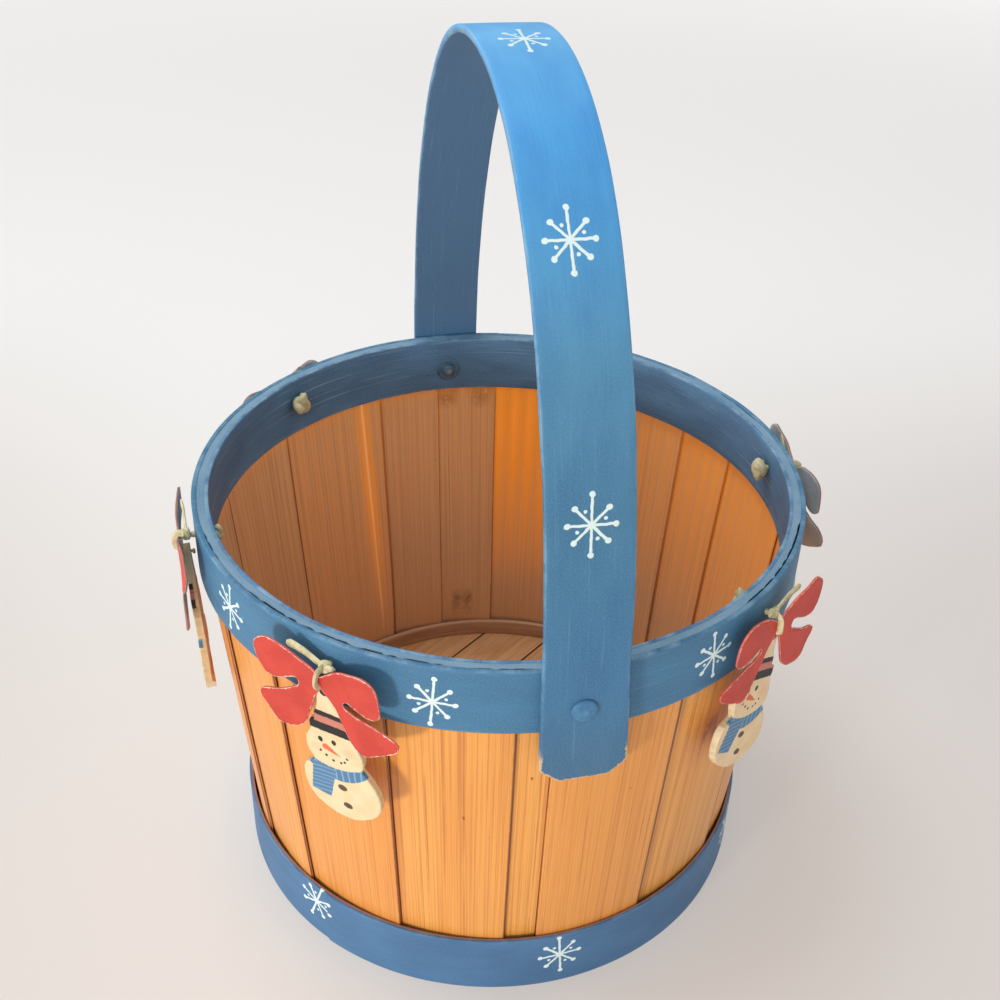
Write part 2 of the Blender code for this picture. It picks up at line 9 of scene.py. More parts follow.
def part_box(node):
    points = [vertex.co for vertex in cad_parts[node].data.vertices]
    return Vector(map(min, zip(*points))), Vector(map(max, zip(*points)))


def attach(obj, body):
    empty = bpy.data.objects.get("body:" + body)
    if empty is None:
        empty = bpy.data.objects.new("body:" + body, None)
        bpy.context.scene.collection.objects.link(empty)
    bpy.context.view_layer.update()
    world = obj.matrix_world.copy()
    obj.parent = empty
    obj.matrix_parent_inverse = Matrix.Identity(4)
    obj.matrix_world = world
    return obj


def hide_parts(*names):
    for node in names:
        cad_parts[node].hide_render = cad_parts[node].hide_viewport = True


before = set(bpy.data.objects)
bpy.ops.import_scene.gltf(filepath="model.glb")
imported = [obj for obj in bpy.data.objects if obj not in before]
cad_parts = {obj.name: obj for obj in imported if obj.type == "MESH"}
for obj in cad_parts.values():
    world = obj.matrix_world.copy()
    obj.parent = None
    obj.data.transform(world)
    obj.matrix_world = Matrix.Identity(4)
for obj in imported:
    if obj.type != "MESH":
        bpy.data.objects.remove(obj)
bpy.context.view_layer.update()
print("frame loaded,", len(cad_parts), "solids")

mm = 0.001
circle = 2 * math.pi


# Small tools for shapes

def clip01(x):
    # x held between 0 and 1
    return np.clip(x, 0, 1)


def unit(vectors):
    # each vector divided by its own length
    return vectors / np.linalg.norm(vectors, axis=-1, keepdims=True)


def pairs(first, second):
    # two grids of numbers spread to one size and put side by side
    return np.stack(np.broadcast_arrays(first, second), -1)


def closed(turn):
    # the angles of a loop and its first one again, a whole turn later
    return np.append(turn, turn.flat[0] + circle)


def roundAxis(r, turn, z):
    # point = (r cos t, r sin t, z)
    return np.stack([r * np.cos(turn), r * np.sin(turn), z + 0 * r], -1)


def runAlong(path):
    # metres run from the start of a path to each of its points
    return np.concatenate([[0], np.cumsum(np.linalg.norm(np.diff(path, axis=0), axis=1))])


def evenCurve(points, count, fine=600):
    # Catmull-Rom spline through the points, read at even distances along its length
    p = np.array(points, float)
    p = np.vstack([2 * p[0] - p[1], p, 2 * p[-1] - p[-2]])
    t = np.linspace(0, len(p) - 3, fine)
    k = np.minimum(t.astype(int), len(p) - 4)
    t = (t - k)[:, None]
    a, b, c, d = p[k], p[k + 1], p[k + 2], p[k + 3]
    p = 0.5 * (2 * b + (c - a) * t + (2 * a - 5 * b + 4 * c - d) * t**2 + (3 * b - 3 * c + d - a) * t**3)
    run = runAlong(p)
    at = np.linspace(0, run[-1], count)
    return np.stack([np.interp(at, run, p[:, i]) for i in range(p.shape[1])], axis=1)


def knotNoise(x, spacing, seed):
    # random heights every spacing metres, joined by soft steps: the same line each run
    heights = np.random.default_rng(seed).uniform(-1, 1, 4096)
    t = np.asarray(x) / spacing + 2000
    k = np.floor(t).astype(int)
    f = t - k
    f = f * f * (3 - 2 * f)
    return heights[k % 4096] * (1 - f) + heights[(k + 1) % 4096] * f


def roundedSection(width, wall, corner, sideCount):
    # loop round a flat strip: (across, out), straight long sides joined by quarter circles
    w, h = width / 2 - corner, wall / 2 - corner
    turn = np.linspace(0, math.pi / 2, 4)
    c, s = corner * np.cos(turn), corner * np.sin(turn)
    side, face = np.linspace(-1, 1, sideCount + 2)[1:-1] * w, np.full(sideCount, wall / 2)
    loop = [(w + c, h + s), (side[::-1], face), (-w - s, h + c), (-w - c, -h - s), (side, -face), (w + s, -h - c)]
    return np.vstack([np.stack(piece, 1) for piece in loop])


def gridFaces(rows, cols, wrapRows, wrapCols):
    # corner numbers of every quad of a grid, and the same corners in a grid that doesn't wrap
    i, j = np.meshgrid(np.arange(rows - (not wrapRows)), np.arange(cols - (not wrapCols)), indexing="ij")
    i, j = i.ravel(), j.ravel()
    corners = [(i, j), (i, j + 1), (i + 1, j + 1), (i + 1, j)]
    faces = np.stack([(a % rows) * cols + b % cols for a, b in corners], 1)
    opened = np.stack([a * (cols + wrapCols) + b for a, b in corners], 1)
    return faces, opened


def addMarks(mesh, marks):
    # one number per point under the name of each mark
    for name, values in marks.items():
        attribute = mesh.attributes.new(name, "FLOAT", "POINT")
        attribute.data.foreach_set("value", np.ascontiguousarray(values, np.float32).ravel())


def addSurface(name, grid, material, uv=None, marks={}, ends="capped", sharp=40):
    # a grid of points, closed from its last column to its first, made into one mesh with its UV map and its
    # marks; its first and last rows are capped, joined to each other or left open
    rows, cols = grid.shape[:2]
    faces, opened = gridFaces(rows, cols, ends == "joined", True)
    polygons = faces.tolist()
    if ends == "capped":
        polygons += [list(range(cols - 1, -1, -1)), list(range((rows - 1) * cols, rows * cols))]
    mesh = bpy.data.meshes.new(name)
    mesh.from_pydata(grid.reshape(-1, 3).tolist(), [], polygons)
    if uv is not None:
        flat = uv.reshape(-1, 2)
        values = [flat[opened.ravel()]]
        if ends == "capped":
            inUv = (np.arange(rows)[:, None] * (cols + 1) + np.arange(cols)).ravel()
            values.append(flat[inUv[polygons[-2] + polygons[-1]]])
        layer = mesh.uv_layers.new(name="strip")
        layer.data.foreach_set("uv", np.vstack(values).astype(np.float32).ravel())
    addMarks(mesh, {key: np.broadcast_to(values, (rows, cols)) for key, values in marks.items()})
    return finishMesh(name, mesh, [material], sharp)


def finishMesh(name, mesh, materials, sharp=None, weld=1e-7, facing=None):
    # near points joined and faces turned outwards, or on an open sheet to the side named
    bm = bmesh.new()
    bm.from_mesh(mesh)
    bmesh.ops.remove_doubles(bm, verts=bm.verts, dist=weld)
    bmesh.ops.dissolve_degenerate(bm, edges=bm.edges, dist=weld / 10)
    bmesh.ops.recalc_face_normals(bm, faces=bm.faces)
    if facing and sum(face.normal.dot(facing) * face.calc_area() for face in bm.faces) < 0:
        bmesh.ops.reverse_faces(bm, faces=bm.faces)
    bm.to_mesh(mesh)
    bm.free()
    mesh.shade_smooth()
    if sharp:
        mesh.set_sharp_from_angle(angle=math.radians(sharp))
    for material in materials:
        mesh.materials.append(material)
    piece = bpy.data.objects.new(name, mesh)
    bpy.context.scene.collection.objects.link(piece)
    return piece


def seat(piece, body, slotName, *nodes):
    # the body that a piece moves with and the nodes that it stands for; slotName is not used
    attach(piece, body)
    if nodes:
        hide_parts(*nodes)


# Small tools for materials

class Field:
    # one output in a material's node tree, so that masks are added and multiplied as numbers are
    def __init__(self, tree, socket):
        self.tree, self.socket = tree, socket

    def __mul__(self, other):
        return calc("MULTIPLY", self, other)

    def __truediv__(self, other):
        return calc("DIVIDE", self, other)

    def __add__(self, other):
        return calc("ADD", self, other)

    def __sub__(self, other):
        return calc("SUBTRACT", self, other)

    def __rsub__(self, other):
        return calc("SUBTRACT", other, self)


def srgb(r, g, b):
    # a colour as a picture shows it, 0 to 255, made linear
    c = np.array([r, g, b]) / 255
    c = np.where(c <= 0.04045, c / 12.92, ((c + 0.055) / 1.055) ** 2.4)
    return (float(c[0]), float(c[1]), float(c[2]), 1.0)


def putInto(socket, value, tree):
    # an output is linked, a number or a colour is set
    if isinstance(value, Field):
        tree.links.new(value.socket, socket)
    else:
        socket.default_value = value


def wire(tree, kind, inputs, output=0, **settings):
    # a new node with its settings made and its inputs set or linked; gives one of its outputs
    node = tree.nodes.new(kind)
    for key, value in settings.items():
        setattr(node, key, value)
    for key, value in inputs.items():
        putInto(node.inputs[key], value, tree)
    return Field(tree, node.outputs[output])


def calc(operation, a, b=0.0):
    # one operation on two outputs or numbers
    tree = (a if isinstance(a, Field) else b).tree
    return wire(tree, "ShaderNodeMath", {0: a, 1: b}, operation=operation)


def hypot(x, y):
    # square root of x squared plus y squared
    return calc("SQRT", x * x + y * y)


def step(value, low, high, flip=False):
    # 0 below low, 1 above high, soft between, or the other way round
    inputs = {"Value": value, "From Min": low, "From Max": high, "To Min": float(flip), "To Max": float(not flip)}
    return wire(value.tree, "ShaderNodeMapRange", inputs, interpolation_type="SMOOTHSTEP")


def blend(mask, under, over, mode="MIX"):
    # under * (1 - mask) + over * mask, or in another mode
    tree = next(value.tree for value in (mask, under, over) if isinstance(value, Field))
    return wire(tree, "ShaderNodeMix", {0: mask, 6: under, 7: over}, 2, data_type="RGBA", blend_type=mode)


def layered(colour, look, layers):
    # each layer's paint, a colour or its name in the look, lies over the last one where its mask is 1
    for paint, mask in layers:
        colour = blend(mask, colour, look[paint] if isinstance(paint, str) else paint)
    return colour


def mapped(vector, scale=(1, 1, 1), move=(0, 0, 0), turn=0.0):
    # the vector times the scale, turned about z and then moved
    inputs = {"Vector": vector, "Scale": scale, "Location": move, "Rotation": (0, 0, turn)}
    return wire(vector.tree, "ShaderNodeMapping", inputs)


def noise(vector, scale, detail=3.0, roughness=0.55, distortion=0.0, move=(0, 0, 0)):
    # the scale is one number, or one for each direction of a stretched grain
    if isinstance(scale, tuple):
        vector, scale = mapped(vector, scale + (1,), move), 1.0
    inputs = {"Vector": vector, "Scale": scale, "Detail": detail, "Roughness": roughness, "Distortion": distortion}
    return wire(vector.tree, "ShaderNodeTexNoise", inputs, "Fac")


def wobbled(vector, scale, detail, reach):
    # the vector moved by reach times a noise that runs from -0.5 to 0.5 in each direction
    inputs = {"Vector": vector, "Scale": scale, "Detail": detail}
    wave = wire(vector.tree, "ShaderNodeTexNoise", inputs, "Color")
    shift = wire(vector.tree, "ShaderNodeVectorMath", {0: wave, 1: (0.5, 0.5, 0.5)}, operation="SUBTRACT")
    small = wire(vector.tree, "ShaderNodeVectorMath", {0: shift, "Scale": reach}, operation="SCALE")
    return wire(vector.tree, "ShaderNodeVectorMath", {0: vector, 1: small}, operation="ADD")


def splitUp(vector):
    # the first two parts of a vector
    x = wire(vector.tree, "ShaderNodeSeparateXYZ", {0: vector})
    return x, Field(x.tree, x.socket.node.outputs[1])


def mark(tree, name):
    # the number that the mesh holds under this name
    return wire(tree, "ShaderNodeAttribute", {}, "Fac", attribute_name=name)


def stripUv(tree):
    return wire(tree, "ShaderNodeUVMap", {}, uv_map="strip")


def objectPlace(tree):
    return wire(tree, "ShaderNodeTexCoord", {}, "Object")


def newMaterial(name):
    material = bpy.data.materials.new(name)
    material.use_nodes = True
    return material, material.node_tree


def finishPaint(material, colour, roughness, height, strength, depth, more={}):
    # colour, roughness and bump into the shader, and whatever else the paint needs
    tree = material.node_tree
    bump = wire(tree, "ShaderNodeBump", {"Strength": strength, "Distance": depth, "Height": height})
    for key, value in {"Base Color": colour, "Roughness": roughness, "Normal": bump, **more}.items():
        putInto(tree.nodes["Principled BSDF"].inputs[key], value, tree)
    return material


# Sizes read off the solids, so that every new piece fits them

def radiusOf(node):
    # half the width of its box
    low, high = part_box(node)
    return (high.y - low.y) / 2


rimRadius = radiusOf("outer_top_band")
rimLow, rimHeight = (corner.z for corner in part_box("outer_top_band"))
footRadius = radiusOf("foot_band")
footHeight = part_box("foot_band")[1].z
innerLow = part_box("inner_top_band")[0].z
innerOutside = radiusOf("inner_top_band")
hoopOutside = radiusOf("inner_hoop")
hoopLow, hoopHigh = (corner.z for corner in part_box("inner_hoop"))
boardLow, boardHigh = (corner.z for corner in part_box("bottom_board_4"))
bandWall = 2.0 * mm
innerWall = 1.6 * mm
staveWall = 1.1 * mm
staveRise = 1.4 * mm
seatGap = 0.3 * mm
wallRadius = 0.12  # metres, turns an angle into a width on the wall
rivetHeight = rimHeight - 16.2 * mm


# Snowflake in white paint

def snowflakeGroup():
    # eight arms with round ends: the distance to the nearest arm is r times the sine of the angle left
    # after folding the turn into eighths; the arms along v are longer; four dots lie between the arms
    group = bpy.data.node_groups.new("snowflakeMask", "ShaderNodeTree")
    group.interface.new_socket("Place", in_out="INPUT", socket_type="NodeSocketVector")
    group.interface.new_socket("Mask", in_out="OUTPUT", socket_type="NodeSocketFloat")
    place = Field(group, group.nodes.new("NodeGroupInput").outputs[0])
    x, y = splitUp(wobbled(place, 420.0, 1.0, 0.7 * mm))
    r, turn = hypot(x, y), calc("ARCTAN2", y, x)
    eighth = math.pi / 4
    toArm = calc("PINGPONG", turn, eighth / 2)
    aside, along = r * calc("SINE", toArm), r * calc("COSINE", toArm)
    upright = step(calc("ABSOLUTE", y / (r + 1e-6)), 0.9, 0.97)
    reach = upright * (2.2 * mm) + 8.2 * mm
    arm = step(aside, 0.38 * mm, 0.62 * mm, flip=True) * calc("LESS_THAN", along, reach)
    ball = step(hypot(along - reach, aside), 0.95 * mm, 1.2 * mm, flip=True)
    toDot = calc("PINGPONG", turn + eighth * 1.45, eighth)
    fromDot = hypot(r * calc("SINE", toDot), r * calc("COSINE", toDot) - 5.2 * mm)
    dot = step(fromDot, 0.55 * mm, 0.8 * mm, flip=True)
    mask = calc("MAXIMUM", calc("MAXIMUM", arm, ball), dot)
    putInto(group.nodes.new("NodeGroupOutput").inputs[0], mask, group)
    return group


snowflake = snowflakeGroup()


def flakesAt(uv, places):
    # places are (along, across, turn, size) on the strip, in metres and degrees
    total = None
    for along, across, turn, size in places:
        centred = mapped(uv, move=(-along, -across, 0))
        turned = mapped(centred, (1 / size,) * 3, turn=math.radians(turn))
        flake = wire(uv.tree, "ShaderNodeGroup", {0: turned}, node_tree=snowflake)
        total = calc("MAXIMUM", total, flake) if total else flake
    return total


# Materials

def bluePaint(name, look, flakes=()):
    # blue paint brushed along the strip: thin pale streaks, patches, worn edges and white snowflakes
    material, tree = newMaterial(name)
    uv = stripUv(tree)
    outer, edge = mark(tree, "outer"), mark(tree, "edge")
    patches = step(noise(uv, (27, 66), 4.0), 0.3, 0.7)
    brush = noise(uv, (14, 900), 5.0, 0.65)
    grain = noise(uv, (40, 2400), 3.0, 0.6)
    rub = noise(uv, (60, 220), 4.0, 0.7)
    if "crownSheenRamp" in look:  # painted sheen and shade: the blue is painted lighter and brighter near the crown and darker down the legs
        (_, crownSheen), *middle, (legEnd, legPaint) = look["crownSheenRamp"]
        paint = wire(tree, "ShaderNodeValToRGB", {0: calc("ABSOLUTE", splitUp(uv)[0]) / legEnd})
        stops = paint.socket.node.color_ramp.elements
        stops[0].color, stops[1].color = crownSheen, legPaint
        for at, tone in middle:
            stops.new(at / legEnd).color = tone
        deep = blend(1.0, paint, (0.76, 0.83, 0.91, 1), "MULTIPLY")
        colour = blend(outer, look["inner"], blend(patches, deep, paint))
    else:
        colour = blend(patches, look["deep"], look["paint"])
    bare = step(edge, 0.8, 1.0) * step(rub, look["chips"], look["chips"] + 0.03)
    height = brush * 0.7 + grain * 0.3 - bare * 0.5
    layers = [
        ("pale", step(brush, 0.56, 0.74) * look["streaks"]),
        ("dark", step(grain, 0.60, 0.72) * look["grain"]),
        ("pale", step(noise(uv, 1500.0, 2.0), 0.35, 0.7) * 0.16),
        ("pale", step(edge, 0.35, 1.0) * step(rub, 0.42, 0.62) * look["rubbed"]),
        (srgb(214, 160, 104), bare),
    ]
    if "bareMark" in look:  # an edge that the brush never reached shows stained wood
        layers.append((srgb(206, 124, 62), step(mark(tree, "bare"), 0.4, 0.6) * look["bareMark"]))
    if "endChips" in look:  # paint knocked off round the cut ends of the strip
        reach = noise(uv, (700, 700), 4.0, 0.7) * (3.0 * mm) - 0.6 * mm
        near = calc("LESS_THAN", mark(tree, "rimRun"), reach) * step(mark(tree, "ends"), 0.05, 0.3)
        layers.append((srgb(226, 184, 138), near * look["endChips"]))
    # painted shade: near-black where the mark says the surface sinks into a gap
    if "gapShade" in look:
        layers.append((srgb(24, 17, 14), mark(tree, "gapShade")))
    if flakes:
        white = flakesAt(uv, flakes) * step(outer, 0.4, 0.6)
        layers.append((srgb(226, 243, 240), white))
        height = height + white * 1.2
    colour = layered(colour, look, layers)
    rough = brush * 0.25 + look["roughness"]
    return finishPaint(material, colour, rough, height, 0.35, 0.3 * mm, {"Specular IOR Level": 0.4})


bandLook = {
    "paint": srgb(65, 120, 157),
    "deep": srgb(60, 109, 146),
    "pale": srgb(134, 172, 194),
    "dark": srgb(44, 86, 124),
    "streaks": 0.35,
    "grain": 0.35,
    "rubbed": 0.55,
    "chips": 0.80,
    "roughness": 0.42,
}


def staveMaterial(name, look):
    # honey stain on a reeded splint: long fine grain, darker reed lines, red-brown laps and a few specks, with
    # painted shadow beside each raised lap edge and painted shade along the open edges
    material, tree = newMaterial(name)
    uv = stripUv(tree)
    grain = noise(uv, (1500, 14), 4.0, 0.6, 0.2)
    stripes = noise(uv, (1500, 5), 3.0, 0.65)
    threads = noise(uv, (2400, 8), 3.0, 0.65, move=(0.3, 0, 0))
    reed = step(noise(uv, (620, 2.2), 1.0, 0.5), 0.60, 0.69) * step(noise(uv, (120, 16), 2.0), 0.35, 0.6)
    cells = {"Vector": mapped(uv, (1, 0.6, 1)), "Scale": 75.0, "Randomness": 1.0}
    spot = step(wire(tree, "ShaderNodeTexVoronoi", cells, "Distance"), 0.035, 0.06, flip=True)
    spot = spot * calc("GREATER_THAN", noise(uv, 60.0, 1.0), 0.58)
    colour = layered(blend(step(noise(uv, (90, 5)), 0.3, 0.7), look["honey"], look["light"]), look, [
        ("amber", step(grain, 0.45, 0.75) * 0.55),
        ("fibre", step(stripes, 0.46, 0.62) * 0.5),
        ("bright", step(threads, 0.5, 0.64) * 0.65),
        ("line", reed * 0.7),
        ("line", step(mark(tree, "reed"), 0.2, 0.8) * 0.45),
        ("pale", step(noise(uv, (5200, 60), 2.0, 0.6), 0.5, 0.8) * 0.25),
        ("amber", mark(tree, "tone") * 0.45),
        ("lap", spot * 0.8),
    ])
    dull = layered(colour, look, [
        ("inside", 0.58),
        ("shadeLine", step(stripes, 0.40, 0.70) * 0.34),
        ("pale", step(noise(uv, (2600, 12), 2.0, 0.6), 0.52, 0.74) * 0.3),
        ("dust", step(splitUp(uv)[1], 0.01, 0.12, flip=True) * 0.5),
    ])
    # dark line along each open edge of a splint: partly the dark joint, partly painted shade where the edge turns
    # away
    edgeRun = noise(uv, (60, 180)) * -0.5 + mark(tree, "edgeRun")
    lapRun, glow = mark(tree, "lapRun"), mark(tree, "glow")
    colour = layered(blend(step(mark(tree, "inside"), 0.4, 0.6), colour, dull), look, [
        ("lap", step(edgeRun, 0.0, 0.75, flip=True) * 0.8),
        # painted shadow of the raised edge over this splint: a soft darker zone, then a thin dark line that is partly
        # the joint
        ("line", step(lapRun, 0.3, 3.0, flip=True) * 0.22),
        ("lap", step(lapRun, 0.15, 0.5, flip=True) * 0.9),
        (srgb(92, 56, 34), mark(tree, "stain") * step(noise(uv, 420.0), 0.30, 0.5)),
        (blend(step(stripes, 0.4, 0.7) * 0.5, look["glow"], srgb(206, 128, 50)), glow),
        (srgb(255, 226, 178), mark(tree, "glint")),
    ])
    return finishPaint(material, colour, grain * 0.25 + 0.30, grain * 0.6 - reed * 0.8, 0.4, 0.25 * mm, {
        "Coat Weight": 0.12,
        "Coat Roughness": 0.35,
        "Emission Strength": glow * (stripes * 0.5),  # light coming through the thin splint
        "Emission Color": srgb(255, 134, 34),
    })


staveLook = {
    "honey": srgb(235, 158, 71),
    "light": srgb(244, 174, 86),
    "pale": srgb(250, 192, 104),
    "amber": srgb(224, 138, 60),
    # line: reed lines, and the soft painted shadow beside a lap; lap: specks and dark joints, also painted shade and
    # shadow along the edges
    "line": srgb(186, 104, 46),
    "lap": srgb(112, 42, 20),
    "inside": srgb(235, 206, 172),
    "shadeLine": srgb(154, 98, 58),
    "fibre": srgb(184, 108, 48),
    "bright": srgb(254, 186, 94),
    "dust": srgb(206, 172, 142),
    "glow": srgb(255, 172, 66),
}


def bareWood(name, look):
    # plain wood: long grain along u, flecks and a dusty darker film
    material, tree = newMaterial(name)
    uv = stripUv(tree)
    grain = noise(uv, (26, 1300), 4.0, 0.6, 0.3)
    rings = noise(uv, (5, 210), 2.0, 0.5, 0.6)
    colour = layered(blend(step(rings, 0.35, 0.65), look["wood"], look["pale"]), look, [
        ("dark", step(grain, 0.45, 0.75) * 0.6),
        ("dark", step(noise(uv, (30, 40), 4.0), 0.5, 0.75) * 0.3),
        ("rim", step(mark(tree, "edge"), 0.3, 1.0) * look["edge"]),
    ])
    return finishPaint(material, colour, 0.62, grain * 0.7 + rings * 0.4, 0.35, 0.3 * mm)


def paintedMetal(name, look):
    # the blue of the band over a hammered head, rubbed at its crown
    material, tree = newMaterial(name)
    place = objectPlace(tree)
    patches = noise(place, 300.0, 4.0, 0.65)
    rubbed = step(mark(tree, "rubbed"), 0.3, 0.9) * step(patches, 0.35, 0.55)
    colour = blend(step(patches, 0.35, 0.7), look["paint"], look["deep"])
    colour = blend(rubbed * 0.8, colour, look["rubbed"])
    lumps = noise(place, 900.0)
    return finishPaint(material, colour, look["roughness"], lumps, 0.3, 0.3 * mm, {"Metallic": look["metallic"]})


def bowPaint(name, look):
    # paint on thin sheet, sanded pale along the cut edges
    material, tree = newMaterial(name)
    place = objectPlace(tree)
    tooth = noise(place, 1400.0, 3.0, 0.7)
    reach = noise(place, 520.0, 4.0, 0.7) * 2.4 - 1.0
    colour = layered(blend(step(noise(place, 120.0), 0.3, 0.7), look["paint"], look["deep"]), look, [
        ("dust", step(tooth, 0.5, 0.75) * 0.3),
        ("chip", step(mark(tree, "edgeRun") - reach, -0.10, 0.12, flip=True) * look["sanded"]),
    ])
    return finishPaint(material, colour, look["roughness"], tooth, 0.25, 0.2 * mm)


def twineFibre(name, look):
    # dry split straw: fine fibres along the strand, greenish to cream
    material, tree = newMaterial(name)
    uv = stripUv(tree)
    fibre = noise(uv, (120, 4200), 3.0, 0.6)
    colour = blend(step(noise(uv, (160, 300)), 0.3, 0.7), look["straw"], look["cream"])
    colour = blend(step(fibre, 0.5, 0.75) * 0.6, colour, look["shade"])
    return finishPaint(material, colour, 0.75, fibre, 0.5, 0.3 * mm)


def figurePaint(name, look):
    # cream figure with its painted hat, face, scarf and buttons: each is a soft-edged shape on the UV map,
    # whose unit is a millimetre from the figure's hole, u to the right and v upwards
    material, tree = newMaterial(name)
    uv = stripUv(tree)
    brushed = wobbled(uv, 0.8, 2.0, 0.7)

    def local(centre, turn=0.0):
        # places measured from a centre and turned about it
        moved = mapped(brushed, move=(-centre[0], -centre[1], 0))
        return splitUp(mapped(moved, turn=math.radians(-turn)) if turn else moved)

    def oval(centre, size, turn=0.0, soft=0.12):
        # inside where (x / a) squared plus (y / b) squared is under 1
        x, y = local(centre, turn)
        return step(hypot(x / size[0], y / size[1]), 1 - soft, 1 + soft, flip=True)

    def within(value, low, high):
        # 1 while the value is nearer to nought than low, 0 once it is further off than high
        return step(calc("ABSOLUTE", value), low, high, flip=True)

    def waves(scale, distortion, direction, low):
        # thin wavy lines of the brush
        inputs = {"Vector": uv, "Scale": scale, "Distortion": distortion}
        return step(wire(tree, "ShaderNodeTexWave", inputs, "Fac", bands_direction=direction), low, 0.95)

    hatY = local((0, 0), -7)[1]
    crown = step(hatY, -17.6, -17.2) * step(hatY, -12.9, -12.5, flip=True)
    stripe = step(hatY, -13.1, -12.8) * step(hatY, -10.8, -10.5, flip=True)
    brimX, brimY = local((-0.3, -18.3), -6)
    brim = within(brimX, 10.05, 10.35) * within(brimY, 1.8, 2.1)
    noseX, noseY = local((-3.7, -27.5), -28)
    inNose = 1.45 - noseX * 0.20 - calc("ABSOLUTE", noseY)
    cone = step(inNose, -0.08, 0.12) * step(noseX, -0.1, 0.2)
    scarfX, scarfY = local((0.0, -22.5))
    wide, high = scarfX * scarfX, scarfY * scarfY
    band = step(calc("SQRT", wide * 0.6 + high), 14.6, 14.9)
    band = band * step(calc("SQRT", wide * 1.2 + high), 20.3, 20.6, flip=True)
    band = band * step(scarfY, -9.6, -9.2, flip=True)
    flapX, flapY = local((-8.0, -44.2), -15)
    flap = step(calc("ABSOLUTE", flapX) - (flapY * 0.06 + 4.7), -0.15, 0.15, flip=True) * within(flapY, 7.3, 7.6)
    mouth = [(-6.4, -29.9), (-4.2, -31.6), (-1.4, -33.4), (2.0, -33.5), (3.7, -32.8), (5.0, -30.9)]
    layers = [("red", crown * 0.8), ("dark", stripe), ("dark", brim)]
    layers += [("cheek", oval(at, (2.6, 1.9), soft=0.5) * 0.35) for at in ((-8.2, -28.8), (6.4, -28.2))]
    layers += [("dark", oval(at, (1.0, 1.25), 8)) for at in ((-5.5, -24.3), (0.3, -24.5))]
    layers += [("nose", calc("MAXIMUM", oval((-3.7, -27.5), (1.5, 1.4)), cone))]
    layers += [("dark", oval(at, (0.62, 0.55), soft=0.3)) for at in mouth]
    layers += [("blue", band), ("paleBlue", band * waves(0.11, 1.6, "X", 0.75) * 0.8)]
    layers += [("blue", flap), ("paleBlue", flap * waves(0.16, 2.5, "Y", 0.7) * 0.6)]
    layers += [("brown", oval((0.3, -46.2), (2.0, 1.45), -12)), ("brown", oval((1.2, -54.7), (2.0, 1.4), -12))]
    front = step(mark(tree, "outer"), 0.4, 0.6)
    # painted shade: greenish grey along the figure's cut edges
    edgeShade = step(mark(tree, "edge"), 0.2, 1.0) * step(noise(uv, 0.5, 4.0, 0.7), 0.3, 0.6)
    colour = blend(step(noise(uv, 0.12), 0.3, 0.7), look["cream"], look["light"])
    colour = blend(edgeShade * 0.6, colour, look["edgeShade"])
    colour = layered(colour, look, [(paint, mask * front) for paint, mask in layers])
    # a dark disc painted where the figure's hole is: painted shade in place of a real hole
    colour = blend(oval((0.4, -1.2), (1.8, 1.7)), colour, look["hole"])
    return finishPaint(material, colour, 0.5, noise(uv, 2.2, 3.0, 0.7), 0.2, 0.2 * mm)


# Bands and hoop: a rounded strip section turned round the basket's axis

ringLook = {
    "steps": 300,
    "sideCount": 10,
    "corner": 0.45 * mm,
    "wave": 0.12 * mm,
    "edgeWave": 0.15 * mm,
    "edgeWidth": 1.6 * mm,
    "lapStep": 0.5 * mm,
    "lapRun": math.radians(26),
    "outward": True,
    "bare": None,  # the edge that the brush missed, top or foot
}


def ringStrip(name, node, outside, wall, low, high, material, slotName="blue_paint", **changes):
    # point = ((r + out + wave) cos t, (r + out + wave) sin t, z + across), the wave only on the outer face
    look = dict(ringLook, **changes)
    lap = math.radians(look["lapAt"])
    t = np.linspace(0, circle, look["steps"], endpoint=False)
    t = np.sort(np.concatenate([t, [(lap - 0.0006) % circle, (lap + 0.0006) % circle]]))[:, None]
    across, out = roundedSection(high - low, wall, look["corner"], look["sideCount"]).T
    half, middle = (high - low) / 2, (low + high) / 2
    seed = look["seed"]
    wave = np.sin(3 * t + seed) * 0.4 + np.sin(7 * t + 2 * seed) * 0.35 + np.sin(11 * t + 1.0) * 0.25
    ahead = (t - lap) % circle
    lift = np.where(ahead < look["lapRun"], look["lapStep"] * (1 - ahead / look["lapRun"]), 0.0)
    side = 1 if look["outward"] else -1
    r = outside - wall / 2 + out + side * clip01(side * out / (wall / 2)) * (wave * look["wave"] + lift)
    rise = knotNoise(t * outside, 0.018, int(seed * 10)) * look["edgeWave"]
    z = middle + across + rise * np.clip(across / half, -1, 1) ** 3
    uv = pairs(closed(t)[:, None] * outside, np.append(across, across[0]) + middle)
    marks = {"edge": clip01(1 - (half - np.abs(across)) / look["edgeWidth"]), "outer": out > 0}
    if look["bare"] == "top":
        marks["bare"] = (across > half - 0.25 * mm) & (out < -wall * 0.1)
    if look["bare"] == "foot":
        marks["bare"] = (across < -half + 0.25 * mm) & (np.abs(out) < wall * 0.499)
    piece = addSurface(name, roundAxis(r, t, z), material, uv, marks, "joined")
    seat(piece, "basket", slotName, node)


def roundPlaces(places, radius, size):
    # one near the strip's start is drawn at its end too, so that both halves meet
    angles = [(angle % 360, z, turn) for angle, z, turn in places]
    angles += [(angle + 360, z, turn) for angle, z, turn in angles if angle < 8]
    return [(math.radians(angle) * radius, z, turn, size) for angle, z, turn in angles]


